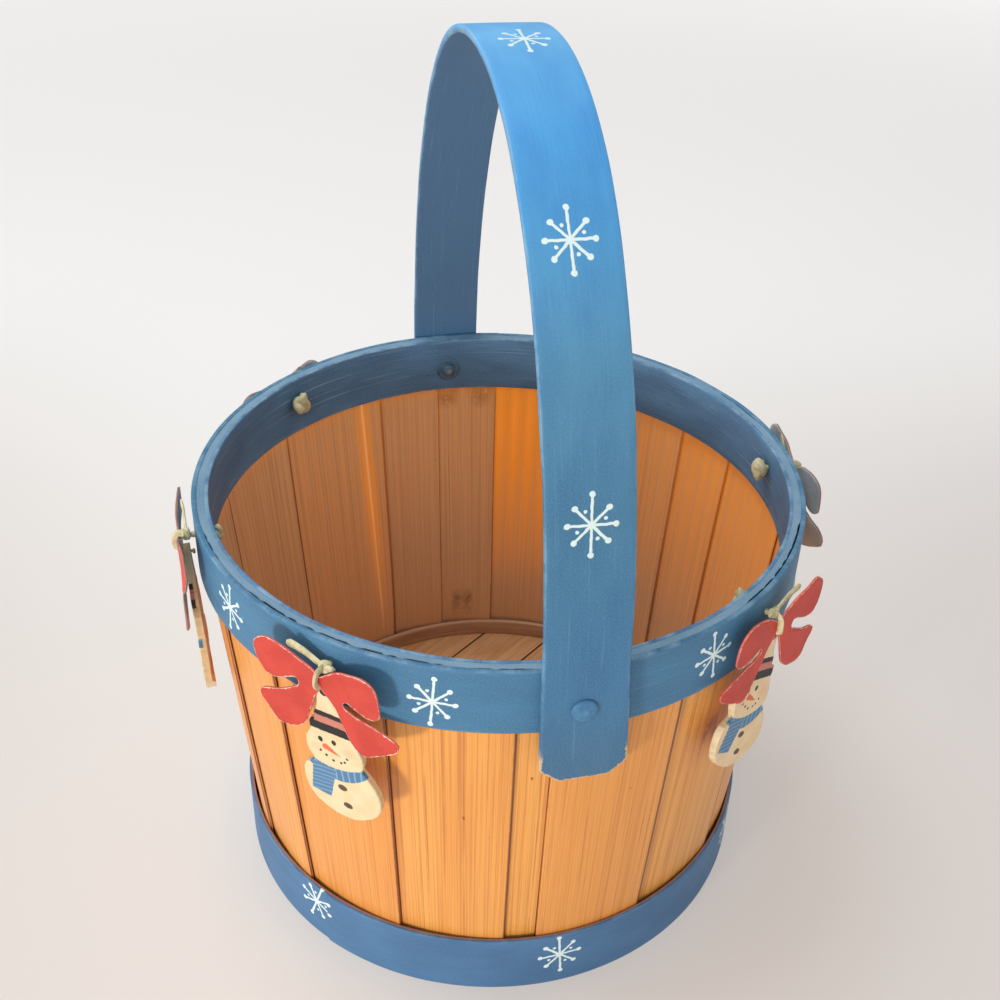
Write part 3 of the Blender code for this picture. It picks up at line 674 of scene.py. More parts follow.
topBandFlakes = [(-65.7, 0.1726, 8), (-23.6, 0.1712, 4), (24.8, 0.1737, -6), (64.5, 0.1722, 12)]
topBandFlakes += [(113.0, 0.1730, -4), (158.5, 0.1716, 9), (-113.5, 0.1724, 5), (-159.0, 0.1730, -10)]
footBandFlakes = [(-53.3, 0.0203, 20), (1.5, 0.0177, -4), (57.0, 0.0170, 9), (114.0, 0.0186, -12)]
footBandFlakes += [(171.0, 0.0174, 5), (-108.0, 0.0180, -8)]
footLook = dict(
    bandLook,
    paint=srgb(74, 120, 162),
    deep=srgb(64, 106, 148),
    pale=srgb(118, 152, 184),
    dark=srgb(50, 82, 122),
    streaks=0.25,
    bareMark=0.55,
)
innerLook = dict(
    bandLook,
    paint=srgb(82, 130, 170),
    deep=srgb(68, 108, 146),
    pale=srgb(158, 190, 212),
    dark=srgb(46, 62, 88),
    streaks=0.95,
    grain=0.85,
    roughness=0.5,
)
hoopLook = {
    "wood": srgb(172, 140, 116),
    "pale": srgb(196, 164, 138),
    "dark": srgb(118, 86, 66),
    "rim": srgb(222, 188, 154),
    "edge": 0.8,
}
topPaint = bluePaint("topBandBlue", dict(bandLook, bareMark=1.0), roundPlaces(topBandFlakes, rimRadius, 1.0))
ringStrip(
    "outerTopBand", "outer_top_band", rimRadius, bandWall, rimLow, rimHeight, topPaint,
    seed=0.7, lapAt=168, bare="foot",
)
footPaint = bluePaint("footBandBlue", footLook, roundPlaces(footBandFlakes, footRadius, 1.03))
ringStrip(
    "footBand", "foot_band", footRadius, bandWall, 0.0, footHeight, footPaint,
    seed=2.1, lapAt=-50, edgeWave=0.0, bare="top",
)
ringStrip(
    "innerTopBand", "inner_top_band", innerOutside, innerWall, innerLow, rimHeight,
    bluePaint("innerBandBlue", innerLook), seed=4.2, lapAt=150, outward=False, wave=0.08 * mm, lapStep=0.3 * mm,
)
ringStrip(
    "innerHoop", "inner_hoop", hoopOutside, 2.2 * mm, hoopLow, hoopHigh, bareWood("hoopWood", hoopLook),
    "bare_wood", seed=1.4, lapAt=-146, outward=False, sideCount=4, corner=0.6 * mm, wave=0.1 * mm,
)
print("bands and hoop done")


# Rim filler: the paint that closes the top of the stave ends between the two bands

fillerShape = {
    "dashes": [  # degrees from and to, and how far the paint draws back
        (-80, -70, 0.5), (-63, -37, 0.9), (-36.5, -21, 0.9), (-18, -7, 0.7), (33, 62, 0.8), (98, 112, 0.5),
    ],
    "gap": 0.95 * mm,
    "setDown": 0.25 * mm,
    "depth": 3.1 * mm,
}
# the rim top is painted paler than the bands and its edges rubbed paler still: painted sheen of the light on the rim,
# over some real wear
fillerLook = dict(
    bandLook,
    paint=srgb(122, 158, 182),
    deep=srgb(102, 142, 170),
    pale=srgb(180, 198, 208),
    rubbed=0.9,
    gapShade=True,
)


def rimFiller(shape):
    # flat ring whose outer edge draws back from the band in a few dashes, where the gap shows dark; its sunken outer
    # wall and floor carry painted shade
    degrees = np.linspace(-180, 180, 1440, endpoint=False)
    turn = np.radians(degrees)
    ragged = clip01(knotNoise(turn * rimRadius, 0.0028, 5) * 1.1 + 1.0)
    draw = np.zeros_like(turn)
    for start, end, depth in shape["dashes"]:
        draw = np.maximum(draw, clip01((degrees - start) / 1.5) * clip01((end - degrees) / 1.5) * depth * ragged)
    outside = rimRadius - bandWall + 0.15 * mm - draw * shape["gap"]
    inside = np.full_like(outside, innerOutside - 0.2 * mm)
    top = rimHeight - shape["setDown"] + knotNoise(turn * rimRadius, 0.006, 8) * 0.08 * mm
    low = np.full_like(top, rimHeight - shape["depth"])
    radii = [inside, inside + 0.2 * mm, (inside + outside) / 2, outside - 0.25 * mm, outside, outside, inside]
    heights = [top - 0.1 * mm, top, top - 0.1 * mm, top, top - 0.25 * mm, low, low]
    width = np.array([0, 0.2, 1.5, 2.8, 3.0, 5.0, 8.0, 10.0]) * mm
    uv = pairs(closed(turn)[:, None] * rimRadius, width)
    # the outer wall and floor of the ring are painted near-black as shade in the gap
    marks = {"edge": 0.5, "outer": 0.0, "gapShade": np.array([0, 0, 0, 0, 0.7, 1.0, 1.0])}
    grid = roundAxis(np.stack(radii, 1), turn[:, None], np.stack(heights, 1))
    piece = addSurface("rimPaint", grid, bluePaint("rimBlue", fillerLook), uv, marks, "joined")
    seat(piece, "basket", "blue_paint")


rimFiller(fillerShape)


# Staves: bent splints with a reeded face, each lapping its neighbour

staveShape = {
    "starts": [  # degrees, and the first one again
        -11, -3, 19.5, 43.5, 61.5, 79.5, 106, 121, 145, 169, 183, 197, 223.5, 248, 267, 286, 303.5, 327, 349,
    ],
    "lap": 1.6,
    "low": 1.0 * mm,
    "setDown": 3.3 * mm,
    "reedDepth": 0.09 * mm,
    "bulge": 0.25 * mm,
    "edgeRound": 0.4 * mm,
    "stains": [  # degrees, height, half width, half height, and 1 for a ring or 0 for a patch
        (31, 124, 3.2, 4.0, 1), (176.5, 24, 2.2, 4.0, 0), (176.5, 26, 4.5, 6.5, 1), (180, 156, 5, 3.5, 1),
        (172, 156, 6, 3, 1),
    ],
    "glows": {  # light through a splint: strength, metres up to its end and to its full strength, slit's degrees
        4: (0.50, 0.05, 0.11),
        5: (0.80, 0.03, 0.13),
        6: (0.85, 0.05, 0.11),
        7: (0.60, 0.06, 0.10),
        8: (1.30, 0.040, 0.095),
        9: (0.30, 0.07, 0.09),
        10: (0.25, 0.07, 0.09),
        11: (0.30, 0.015, 0.14, (200.1, 201.6)),
        12: (0.15, 0.08, 0.08),
        13: (0.0, 0.08, 0.08),
    },
}


def overEdge(i, seam, z):
    # degrees where splint i ends at each height: half a lap past the seam, with a slow wander
    wander = np.sin(z / 0.17 * math.pi + 1.7 * i + 1) * 0.10 + np.sin(z / 0.06 + 1.1 * i) * 0.05
    return seam + staveShape["lap"] / 2 + wander


def glowOn(z, degrees, strength, low, reach, slit=None):
    # light let through a thin splint, strongest under the band and fading downwards, and one bright slit of it
    down = clip01((z - low) / reach)
    under = 0.5 * clip01((z - 0.150) / 0.009)  # a brighter strip just under the band
    glow = np.maximum(strength * down ** 0.8 * (0.85 + 0.15 * np.sin(degrees * 1.7)), under)
    if slit is None:
        return glow, 0.0
    aside = np.abs(degrees - (slit[0] + (slit[1] - slit[0]) * down))
    glow = np.maximum(glow, 0.85 * np.exp(-((aside / 2.2) ** 2)) * clip01(down * 1.6))
    return glow, clip01(1.3 - aside / 0.25) * 0.95 * clip01(down * 6)


def stave(i, material, shape):
    # outer radius = wall line at that height + rise across the splint - reeds; the inner face is one wall behind
    start, end = shape["starts"][i], shape["starts"][i + 1]
    startRise, endRise = staveRise if i == 1 else 0.0, 0.0 if i == 0 else staveRise
    half = shape["lap"] / 2
    spans = [(shape["low"], footHeight, 3), (footHeight, rimLow, 22), (rimLow, rimHeight - shape["setDown"], 4)]
    z = np.unique(np.concatenate([np.linspace(*span) for span in spans]))[:, None]
    share = np.linspace(0, 1, int((end - start) * 4.4) + 30)
    sway = np.sin(z / 0.19 * math.pi + i) * 0.10 + np.sin(z / 0.07 + 2.3 * i) * 0.06
    first = start - half + np.abs(sway)
    degrees = first + (overEdge(i, end, z) - first) * share
    turn = np.radians(degrees)
    rise = startRise + (endRise - startRise) * clip01((degrees - (start + half)) / (end - half - (start + half)))
    slope = clip01((z - footHeight) / (rimLow - footHeight))
    top, foot = rimRadius - bandWall - seatGap, footRadius - bandWall - seatGap
    bulge = np.sin(math.pi * slope) * shape["bulge"] * np.sin(5 * turn + 1)
    wall = foot + (top - foot) * slope - staveRise + rise + bulge
    width = (turn - turn[:, :1]) * wallRadius
    toEnd = width[:, -1:] - width
    fromEdge = np.minimum(width, toEnd)
    tuck = staveWall / 2 * (1 - np.sqrt(1 - clip01(1 - fromEdge / shape["edgeRound"]) ** 2)) * 0.8
    u = width + 0.35 * i
    field = clip01(knotNoise(u, 0.009, 21) * 1.4 + 0.5)  # reeds come in bands
    reed = clip01(knotNoise(u, 0.00085, 22)) * field * (0.75 + 0.25 * np.sin(z / 0.05 + i))
    outer = wall - tuck - reed * shape["reedDepth"] * (fromEdge > 0.8 * mm)
    inner = wall - staveWall + tuck + reed * 0.3 * shape["reedDepth"]

    def both(outside, inside=0.0):
        # the outer face's values, then the inner face's run back
        return np.concatenate([outside + 0 * degrees, (inside + 0 * degrees)[:, ::-1]], 1)

    # millimetres past the edge of the splint that lies over this one's start, and to this one's own open edges: they
    # place the painted shadow and the painted edge shade
    far = 9.0
    lapRun = far if i == 1 else np.radians(degrees - overEdge((i - 1) % 18, start, z)) * wallRadius / mm
    if 10 < start < 80:
        lapRun = lapRun - 1.2  # the painted shadow reaches further out where this side is seen past the raised edge
    if i == 0:
        lapRun = np.minimum(lapRun, np.radians(end - half - degrees) * wallRadius / mm + 0.25)
    openRun = far if i == 0 else toEnd / mm
    if 10 < end < 85:
        openRun = openRun - 0.55  # a soft dark line of painted shade where the edge turns away
    if i == 1:
        openRun = np.minimum(openRun, width / mm + 0.5)
    # inside, start edges far round are darkened wider: painted shade for a step face that is turned away
    innerRun = far if i == 1 else width / mm - (0.9 if start > 190 else -0.2)
    stain = np.zeros_like(degrees)
    for at, height, across, tall, ring in shape["stains"]:
        d = np.hypot(np.radians(degrees - at) * wallRadius / mm / across, (z / mm - height) / tall)
        spot = clip01(1.5 - np.abs(d - ring) * (2.5 if ring else 1.2)) * (0.55 if ring else 0.95)
        stain = np.maximum(stain, spot)
    glow, glint = glowOn(z, degrees, *shape["glows"][i]) if i in shape["glows"] else (0.0, 0.0)
    seenOutside = np.abs(degrees) < 90
    marks = {
        "inside": both(0.0, 1.0),
        "edgeRun": both(openRun, innerRun),
        "lapRun": both(lapRun, far),
        "reed": both(reed, reed * 0.4),
        "stain": both(stain * seenOutside, stain * ~seenOutside),
        "tone": (math.sin(i * 12.9898) * 43758.5453) % 1.0,
        "glow": both(0.0, glow),
        "glint": both(0.0, glint),
    }
    uv = pairs(np.concatenate([both(u, u + 0.06), u[:, :1]], 1), z)
    grid = roundAxis(both(outer, inner), both(turn, turn), z)
    piece = addSurface(f"stave{i + 1:02d}", grid, material, uv, marks, sharp=50)
    seat(piece, "basket", "honey_stain", f"stave_{i + 1:02d}")


honey = staveMaterial("honeySplint", staveLook)
for i in range(18):
    stave(i, honey, staveShape)
print("staves done")


# Bottom boards: a rounded plank section carried across the round bottom

boardShape = {"across": 7.26, "shift": -0.1, "joint": 0.4 * mm, "turn": math.radians(128), "corner": 0.5 * mm}
boardLook = {
    "wood": srgb(228, 178, 122),
    "pale": srgb(240, 196, 142),
    "dark": srgb(166, 116, 76),
    "rim": srgb(70, 40, 24),
    "edge": 0.85,
}


def bottomBoard(k, material, shape):
    # point = along * sqrt(R^2 - across^2), so that every plank ends on the circle
    radius = hoopOutside
    pitch = 2 * radius / shape["across"]
    centre = (shape["shift"] + k - 3) * pitch
    low = -radius if k == 0 else centre - (pitch - shape["joint"]) / 2
    high = radius if k == 6 else centre + (pitch - shape["joint"]) / 2
    section = roundedSection(high - low, boardHigh - boardLow, shape["corner"], 26)
    share = clip01(section[:, 0] / (high - low) + 0.5)
    if k in (0, 6):  # more points where the outer planks run out to nothing
        share = share**2 if k == 0 else 1 - (1 - share) ** 2
    across = np.clip(low + (high - low) * share, -radius, radius)
    along = np.linspace(-1, 1, 24)[:, None] * np.sqrt(np.maximum(radius**2 - across**2, 0))
    z = (boardLow + boardHigh) / 2 + section[:, 1] + 0 * along
    c, s = math.cos(shape["turn"]), math.sin(shape["turn"])
    grid = np.stack([along * c - across * s, along * s + across * c, z], -1)
    uv = pairs(along + 0.4 * k, across + 0.1 * k)
    uv = np.concatenate([uv, uv[:, :1]], 1)
    marks = {"edge": clip01(1 - np.minimum(across - low, high - across) / (1.1 * mm))}
    piece = addSurface(f"bottomBoard{k + 1}", grid, material, uv, marks)
    seat(piece, "basket", "bare_wood", f"bottom_board_{k + 1}")


boardWood = bareWood("boardWood", boardLook)
for k in range(7):
    bottomBoard(k, boardWood, boardShape)
print("bottom done")


# Handle: a strip section carried along its bent path

handleShape = {
    "width": 31.0 * mm,
    "wall": 3.0 * mm,
    "cornerWidth": 6.8 * mm,
    "cornerHeight": 6.5 * mm,
    "legLow": rivetHeight - 34.0 * mm,
    "side": rimRadius + seatGap + 1.5 * mm,
    "archLow": rimHeight + 2 * mm,
    "rise": 175.8 * mm,
    "lean": 2.4 * mm,
    "sidePull": 70.0 * mm,
    "crownPull": 89.8 * mm,
    "legCut": (0.07, 1.8 * mm),  # the near leg was cut a little wide and leans to one side
    "flakes": [(0.0065, 0.3645, 2, 1.1), (0.0826, 0.3240, 0, -1.2), (0.1210, 0.2432, 2, 0.0)],
}


def handlePath(h):
    # straight leg, then one cubic curve to the crown, and the same mirrored
    low, high = h["archLow"], h["archLow"] + h["rise"]
    legEnd = h["legLow"] + np.array([0, 0.25, 0.8, 1.8, 3.2, 4.8, 6.2, 6.8, 9, 14, 20, 27, 34, 42]) * mm
    leg = np.stack([np.full(len(legEnd), h["side"]), legEnd], 1)
    t = np.linspace(0, 1, 110)[:, None]
    side = h["side"]
    p = np.array([[side, low], [side - h["lean"], low + h["sidePull"]], [h["crownPull"], high], [0, high]])
    arch = (1 - t)**3 * p[0] + 3 * (1 - t)**2 * t * p[1] + 3 * (1 - t) * t**2 * p[2] + t**3 * p[3]
    half = np.vstack([leg, arch])
    return np.vstack([half, (half * [-1, 1])[-2::-1]])


def handle(material, h):
    # point = path + outward * out, and across; the section narrows at the cut ends
    path = handlePath(h)
    tangent = unit(np.gradient(path, axis=0))
    run = runAlong(path)[:, None]
    fromEnd = np.minimum(run, run[-1] - run)
    halfWidth = h["width"] / 2
    across, out = roundedSection(h["width"], h["wall"], 0.5 * mm, 16).T
    cutCorner = h["cornerWidth"] * clip01(1 - fromEnd / h["cornerHeight"])
    ragged = knotNoise(run, 0.02, 31) * 0.12 * mm
    y = across * ((halfWidth - cutCorner - ragged * (fromEnd > 0.01)) / halfWidth)
    toSide = y[:, :1] / across[0] * halfWidth - np.abs(y)
    uv = np.stack([0 * y + run[-1] / 2 - run, y], -1)
    wallScale = 1 - 0.35 * clip01(1 - fromEnd / (0.8 * mm)) ** 2
    cup = (across / halfWidth) ** 2 * 0.12 * mm  # the strip is a little hollow across its inside
    offset = out * wallScale - cup + knotNoise(run, 0.05, 32) * 0.1 * mm * (fromEnd > 0.06)
    near = clip01((rimHeight - path[:, 1:]) / 0.050) ** 0.8 * (path[:, :1] > 0)
    wider, leaning = h["legCut"]
    cutY = y * (1 + wider * near) + leaning * near
    grid = np.stack([path[:, :1] + tangent[:, 1:] * offset, cutY, path[:, 1:] - tangent[:, :1] * offset], -1)
    marks = {
        "edge": np.maximum(clip01(1 - toSide / (1.5 * mm)), clip01(1 - fromEnd / (1.0 * mm))),
        "outer": out > 0,
        "ends": clip01(1 - fromEnd / 0.016),
        "rimRun": np.minimum(toSide, fromEnd),
    }
    piece = addSurface("handleStrip", grid, material, np.concatenate([uv, uv[:, :1]], 1), marks)
    seat(piece, "handle", "blue_paint", "handle")


def handleFlakes(h):
    # each flake goes to the nearest point of the path, and one off the crown to both sides
    path = handlePath(h)
    run = runAlong(path)
    places = []
    for x, z, turn, across in h["flakes"]:
        for side in (1, -1) if x > 0.02 else (1,):
            nearest = int(np.argmin((path[:, 0] - side * x) ** 2 + (path[:, 1] - z) ** 2))
            places.append((run[-1] / 2 - run[nearest], across * mm, turn + 90, 1.0))
    return places


handleLook = dict(
    bandLook,
    pale=srgb(128, 170, 196),
    chips=0.72,
    endChips=0.85,
    roughness=0.40,
    inner=srgb(72, 110, 148),
    crownSheenRamp=[  # metres from the crown; the lighter crown is painted sheen
        (0.0, srgb(112, 190, 244)),
        (0.03, srgb(86, 172, 232)),
        (0.06, srgb(68, 158, 224)),
        (0.09, srgb(76, 158, 214)),
        (0.135, srgb(82, 142, 178)),
        (0.185, srgb(70, 124, 158)),
        (0.25, srgb(62, 116, 156)),
        (0.30, srgb(74, 114, 142)),
    ],
)
handle(bluePaint("handleBlue", handleLook, handleFlakes(handleShape)), handleShape)
print("handle done")


# Rivets and washers: a profile turned round the X axis

rivetShape = {  # (out, radius) in millimetres from the face that the piece sits on
    "head": [
        (0, 0.02), (0, 2.4), (0, 4.75), (0.45, 4.85), (1.0, 4.5), (1.5, 3.6), (1.85, 2.2), (1.95, 1.0), (1.97, 0.0),
    ],
    "washer": [
        (0, 0.0), (0, 5.4), (0.5, 5.5), (0.8, 5.2), (0.95, 3.2), (1.0, 3.0), (1.6, 2.95), (2.3, 2.2), (2.55, 1.0),
        (2.6, 0.0),
    ],
}
rivetLook = {
    "paint": srgb(74, 130, 172),
    "deep": srgb(60, 110, 150),
    "rubbed": srgb(88, 140, 178),
    "roughness": 0.5,
    "metallic": 0.0,
}
tipLook = {
    "paint": srgb(86, 122, 146),
    "deep": srgb(64, 94, 116),
    "rubbed": srgb(160, 168, 170),
    "roughness": 0.45,
    "metallic": 0.15,
}


def turnedOnX(name, face, outwards, profile, side, material, node, rubbedUpTo):
    # point = (side * x, r cos t, z + r sin t)
    p = evenCurve([((face + outwards * x) * mm, r * mm) for x, r in profile], 40)
    t = np.linspace(0, circle, 40, endpoint=False)
    x, r = p[:, :1], np.maximum(p[:, 1:], 0)
    grid = np.stack([side * x + 0 * t, r * np.cos(t), rivetHeight + r * np.sin(t)], -1)
    marks = {"rubbed": clip01(1 - r / (rubbedUpTo * mm))}
    seat(addSurface(name, grid, material, None, marks, "open", 50), "basket", "rivet_blue", node)


rivetPaint = paintedMetal("rivetBlue", rivetLook)
tipPaint = paintedMetal("rivetTip", tipLook)
headFace = (handleShape["side"] + 1.5 * mm) / mm + 0.05
washerFace = (innerOutside - innerWall) / mm - 0.05
for side, label in ((1, "near"), (-1, "far")):
    turnedOnX(f"{label}RivetHead", headFace, 1, rivetShape["head"], side, rivetPaint, f"{label}_rivet", 3.0)
    turnedOnX(f"{label}WasherTip", washerFace, -1, rivetShape["washer"], side, tipPaint, f"{label}_washer", 2.8)
print("rivets done")


# Ornaments

ornamentPlaces = [  # degrees round the rim, turned about the upright, foot swung to the right
    (39.0, -8.0, -14.5),
    (-41.0, 0.0, 7.5),
    (88.0, 0.0, -8.0),
    (-86.0, -3.0, 8.0),
    (139.5, 0.0, -6.0),
    (-139.5, 0.0, 6.0),
]
ornamentShape = {
    "twineZ": rimHeight - 10.0 * mm,
    "holeDrop": 8.0 * mm,
    "standOff": 2.5 * mm,
    "figureWall": 3.0 * mm,
    "figureCorner": 0.65,  # in millimetres, as its outline is
    "bowWall": 0.8 * mm,
}


def placed(local, place):
    # right, up and outward from the twine's hole in the band; what hangs outside it is turned a little
    a, b = math.radians(place[0]), math.radians(place[1])
    outward = np.array([math.cos(a), math.sin(a), 0])
    right = np.array([-math.sin(a), math.cos(a), 0])
    up = np.array([0, 0, 1.0])
    origin = outward * rimRadius + np.array([0, 0, ornamentShape["twineZ"]])
    x, y, w = local[..., 0], local[..., 1], local[..., 2]
    turnedX = np.where(w > 0, x * math.cos(b) + w * math.sin(b), x)
    turnedW = np.where(w > 0, w * math.cos(b) - x * math.sin(b), w)
    return origin + turnedX[..., None] * right + y[..., None] * up + turnedW[..., None] * outward


figureOutline = [  # millimetres above the figure's hole, left and right
    (3.6, 0.0, 0.0), (3.45, -1.2, 1.2), (3.0, -2.1, 2.1), (2.0, -2.9, 2.9), (0.5, -3.45, 3.45), (-2.0, -3.6, 3.6),
    (-6.0, -4.2, 4.1), (-9.3, -5.2, 4.8), (-11.5, -6.5, 6.2), (-15.6, -7.3, 6.9), (-16.1, -9.3, 8.0),
    (-16.6, -9.6, 9.0), (-18.9, -9.6, 9.3), (-19.4, -9.3, 9.5), (-21.0, -10.2, 9.2), (-24.4, -12.4, 10.3),
    (-28.4, -13.0, 11.6), (-31.5, -12.2, 12.0), (-34.0, -10.9, 11.2), (-35.4, -10.6, 10.5), (-36.0, -11.4, 10.8),
    (-38.4, -15.4, 12.6), (-41.0, -16.6, 14.3), (-43.8, -16.9, 15.6), (-47.0, -16.8, 16.5), (-50.0, -16.2, 16.6),
    (-53.0, -14.9, 16.0), (-55.5, -13.0, 14.4), (-58.0, -9.6, 11.6), (-60.0, -5.6, 7.6), (-61.1, -1.6, 4.2),
    (-61.4, 1.2, 1.2),
]
figureLook = {
    "cream": srgb(236, 202, 154),
    "light": srgb(243, 214, 174),
    "edgeShade": srgb(176, 182, 152),
    "dark": srgb(17, 16, 20),
    "red": srgb(190, 84, 80),
    "blue": srgb(76, 122, 162),
    "paleBlue": srgb(144, 178, 194),
    "brown": srgb(88, 66, 46),
    "cheek": srgb(240, 170, 136),
    "nose": srgb(228, 104, 62),
    "hole": srgb(20, 18, 16),
}


def figure(number, place, material):
    # at each height the section is a plate with round edges, as wide as the outline there
    o = ornamentShape
    outline = np.array(figureOutline)
    heights = np.unique(np.concatenate([np.linspace(3.6, -61.4, 110), outline[:, 0]]))[::-1]
    left, right = (np.interp(-heights, -outline[:, 0], outline[:, k])[:, None] for k in (1, 2))
    half, middle = (right - left) / 2, (right + left) / 2
    arc = np.linspace(0, math.pi / 2, 5)[1:-1]
    side, flat = np.linspace(-1, 1, 22), np.ones(22)
    unitAcross = np.concatenate([side, np.ones(3), side[::-1], -np.ones(3)])
    lift = np.concatenate([flat, np.cos(arc), -flat, -np.cos(arc)])
    poke = np.concatenate([0 * flat, np.sin(arc), 0 * flat, np.sin(arc)])
    c = np.minimum(o["figureCorner"], half)
    wall = o["figureWall"] / mm
    across = unitAcross * (half - c) + np.sign(unitAcross) * poke * c
    out = np.sign(lift) * (wall / 2 - c + c * np.abs(lift))
    x, y = across + middle, heights[:, None] + 0 * across
    hang = math.radians(place[2])
    hungX, hungY = x * math.cos(hang) - y * math.sin(hang), x * math.sin(hang) + y * math.cos(hang)
    lean = clip01(-hungY / 60) * (3.0 if number == 4 else 0.0)  # this one rests a little towards the wall
    outward = (out - lean) * mm + o["standOff"] + o["figureWall"] / 2
    local = np.stack([hungX * mm, hungY * mm - o["holeDrop"], outward], -1)
    uv = np.stack([x, y], -1)
    nearSide = clip01(1 - (half - np.abs(across)) / 1.4)
    nearEnd = clip01(1 - (heights[:, None] + 61.3) / 1.5)
    marks = {"edge": np.maximum(nearSide, nearEnd), "outer": out > 0.6}
    uv = np.concatenate([uv, uv[:, :1]], 1)
    piece = addSurface(f"snowFigure{number}", placed(local, place), material, uv, marks)
    seat(piece, f"figure_{number}", "cream_paint", f"ornament_{number}_figure")


bowShape = {  # edges in millimetres from the twine's hole, each wing drawn to the right
    "near": {
        "top": [
            (0, -1.5), (6.5, 3.1), (11.7, 4.7), (16.7, 5.3), (20.7, 3.9), (23.1, 0.5), (24.4, -5.9), (24.6, -9.3),
        ],
        "loopLow": [(10.2, -8.8), (11.5, -8.9), (15.1, -10.8), (19.1, -12.1), (22.7, -11.3), (24.6, -9.3)],
        "tailHigh": [(9.9, -11.4), (13.9, -13.7), (19, -14.9), (25.1, -16.1), (30.2, -17.9), (32, -19.7)],
        "tailLow": [
            (0, -6.7), (4.6, -11.5), (7.1, -15.1), (9.4, -20.6), (11.3, -25.2), (13.8, -28.9), (17.4, -30.8),
            (21.6, -29.3), (26.9, -26.1), (31.1, -22.8), (32, -19.7),
        ],
        "slot": (9.2, -9.8),
    },
    "far": {
        "top": [
            (0, -1.5), (4, 1.5), (8.1, 3.2), (12.7, 5.2), (17.3, 6.7), (21.5, 8), (24.8, 7), (27.4, 4.1),
            (27.6, 0), (26.4, -4.1), (24.5, -7.4),
        ],
        "loopLow": [(10.3, -5.9), (13.6, -7), (18.7, -9.2), (23, -9.1), (24.5, -7.4)],
        "tailHigh": [(9.9, -9.5), (14.1, -12.3), (19.2, -15.2), (24.2, -16.6), (26.6, -18.3)],
        "tailLow": [
            (0, -6.7), (2.2, -10.4), (3.9, -15.4), (5.5, -21), (7.1, -25.4), (9.3, -28.2), (12.7, -30.2),
            (17.2, -30.7), (20.4, -29.1), (22.3, -26.3), (24.3, -23.6), (26.3, -20.8), (26.6, -18.3),
        ],
        "slot": (9.0, -7.6),
    },
}
bowBends = [  # millimetres: the near wing's and the far wing's tips bent out, the far loop raised
    (0, 0, 0), (0, 0, 0), (2.8, -1.5, 0), (-2.0, -2.0, 0), (-0.5, 1.0, 4.4), (-2.6, -2.6, 0),
]


def bowPanels(wing):
    # loop and tail of one wing, ruled from the stem and the slot out to the cut edge: (1 - t) * inner + t * outer
    rows, cols, shared = 44, 12, 15
    stem = np.linspace((0, -4.1), wing["slot"], shared)
    panels = []
    for inner, outer in ((wing["loopLow"], wing["top"]), (wing["tailHigh"], wing["tailLow"])):
        slotSide = evenCurve([wing["slot"]] + inner, rows - shared + 1)
        innerEdge = np.vstack([stem[:-1], slotSide])[:, None, :]
        outerEdge = evenCurve(outer, rows)[:, None, :]
        t = np.linspace(0, 1, cols)[None, :, None]
        ruling = np.linalg.norm(outerEdge - innerEdge, axis=2)
        fromSlot = np.where(np.arange(rows)[:, None] >= shared - 1, t[..., 0] * ruling, 9.0)
        panels.append((innerEdge * (1 - t) + outerEdge * t, np.minimum((1 - t[..., 0]) * ruling, fromSlot)))
    return panels


def bow(number, place, faceMaterial, rimMaterial, backMaterial):
    # each wing bends out by a power of the distance from the waist, over a slow ripple
    o = ornamentShape
    nearSide = -1 if place[0] > 0 else 1  # the wing towards the near handle leg
    middle = (o["standOff"] + o["figureWall"] + seatGap + o["bowWall"] / 2) / mm
    nearBend, farBend, farRaised = bowBends[number - 1]
    points, faces, edges = [], [], []
    for wing, mirror, bend, raised in (("near", nearSide, nearBend, 0), ("far", -nearSide, farBend, farRaised)):
        for grid, edgeRun in bowPanels(bowShape[wing]):
            x, y = grid[..., 0] * mirror, grid[..., 1]
            w = middle + 0.22 * (np.sin(x * 0.33 + y * 0.21 + number) + 1) * clip01(np.abs(x) / 9)
            loopOnly = clip01((y + 13) / 9) if bend < 0 else 1
            w = w + bend * clip01((np.abs(x) - 7) / 19) ** 1.6 * loopOnly
            lift = raised * np.exp(-(((np.abs(x) - 11) / 6) ** 2)) * clip01((y + 3) / 6)
            faces.append(gridFaces(*x.shape, False, False)[0] + sum(len(p) for p in points))
            points.append(np.stack([x, y + lift, w + 0.6 * lift], -1).reshape(-1, 3) * mm)
            edges.append(edgeRun.ravel())
    mesh = bpy.data.meshes.new(f"bow{number}")
    mesh.from_pydata(placed(np.vstack(points), place).tolist(), [], np.vstack(faces).tolist())
    addMarks(mesh, {"edgeRun": np.concatenate(edges)})
    a = math.radians(place[0])
    materials = [faceMaterial, backMaterial, rimMaterial]
    piece = finishMesh(f"bow{number}", mesh, materials, weld=1e-6, facing=Vector((math.cos(a), math.sin(a), 0)))
    wall = piece.modifiers.new("wall", "SOLIDIFY")
    wall.thickness = o["bowWall"]
    wall.offset = 0.0
    wall.material_offset = 1
    wall.material_offset_rim = 2
    seat(piece, "basket", "bow_red", f"ornament_{number}_bow")


def strandAround(path, tangent, reference, a, b):
    # point = path + side * a + up * b, with the flat side turned by the reference
    tangent = unit(tangent)
    side = unit(np.cross(tangent, reference))
    up = np.cross(side, tangent)
    return path[:, None, :] + side[:, None, :] * a[..., None] + up[:, None, :] * b[..., None]


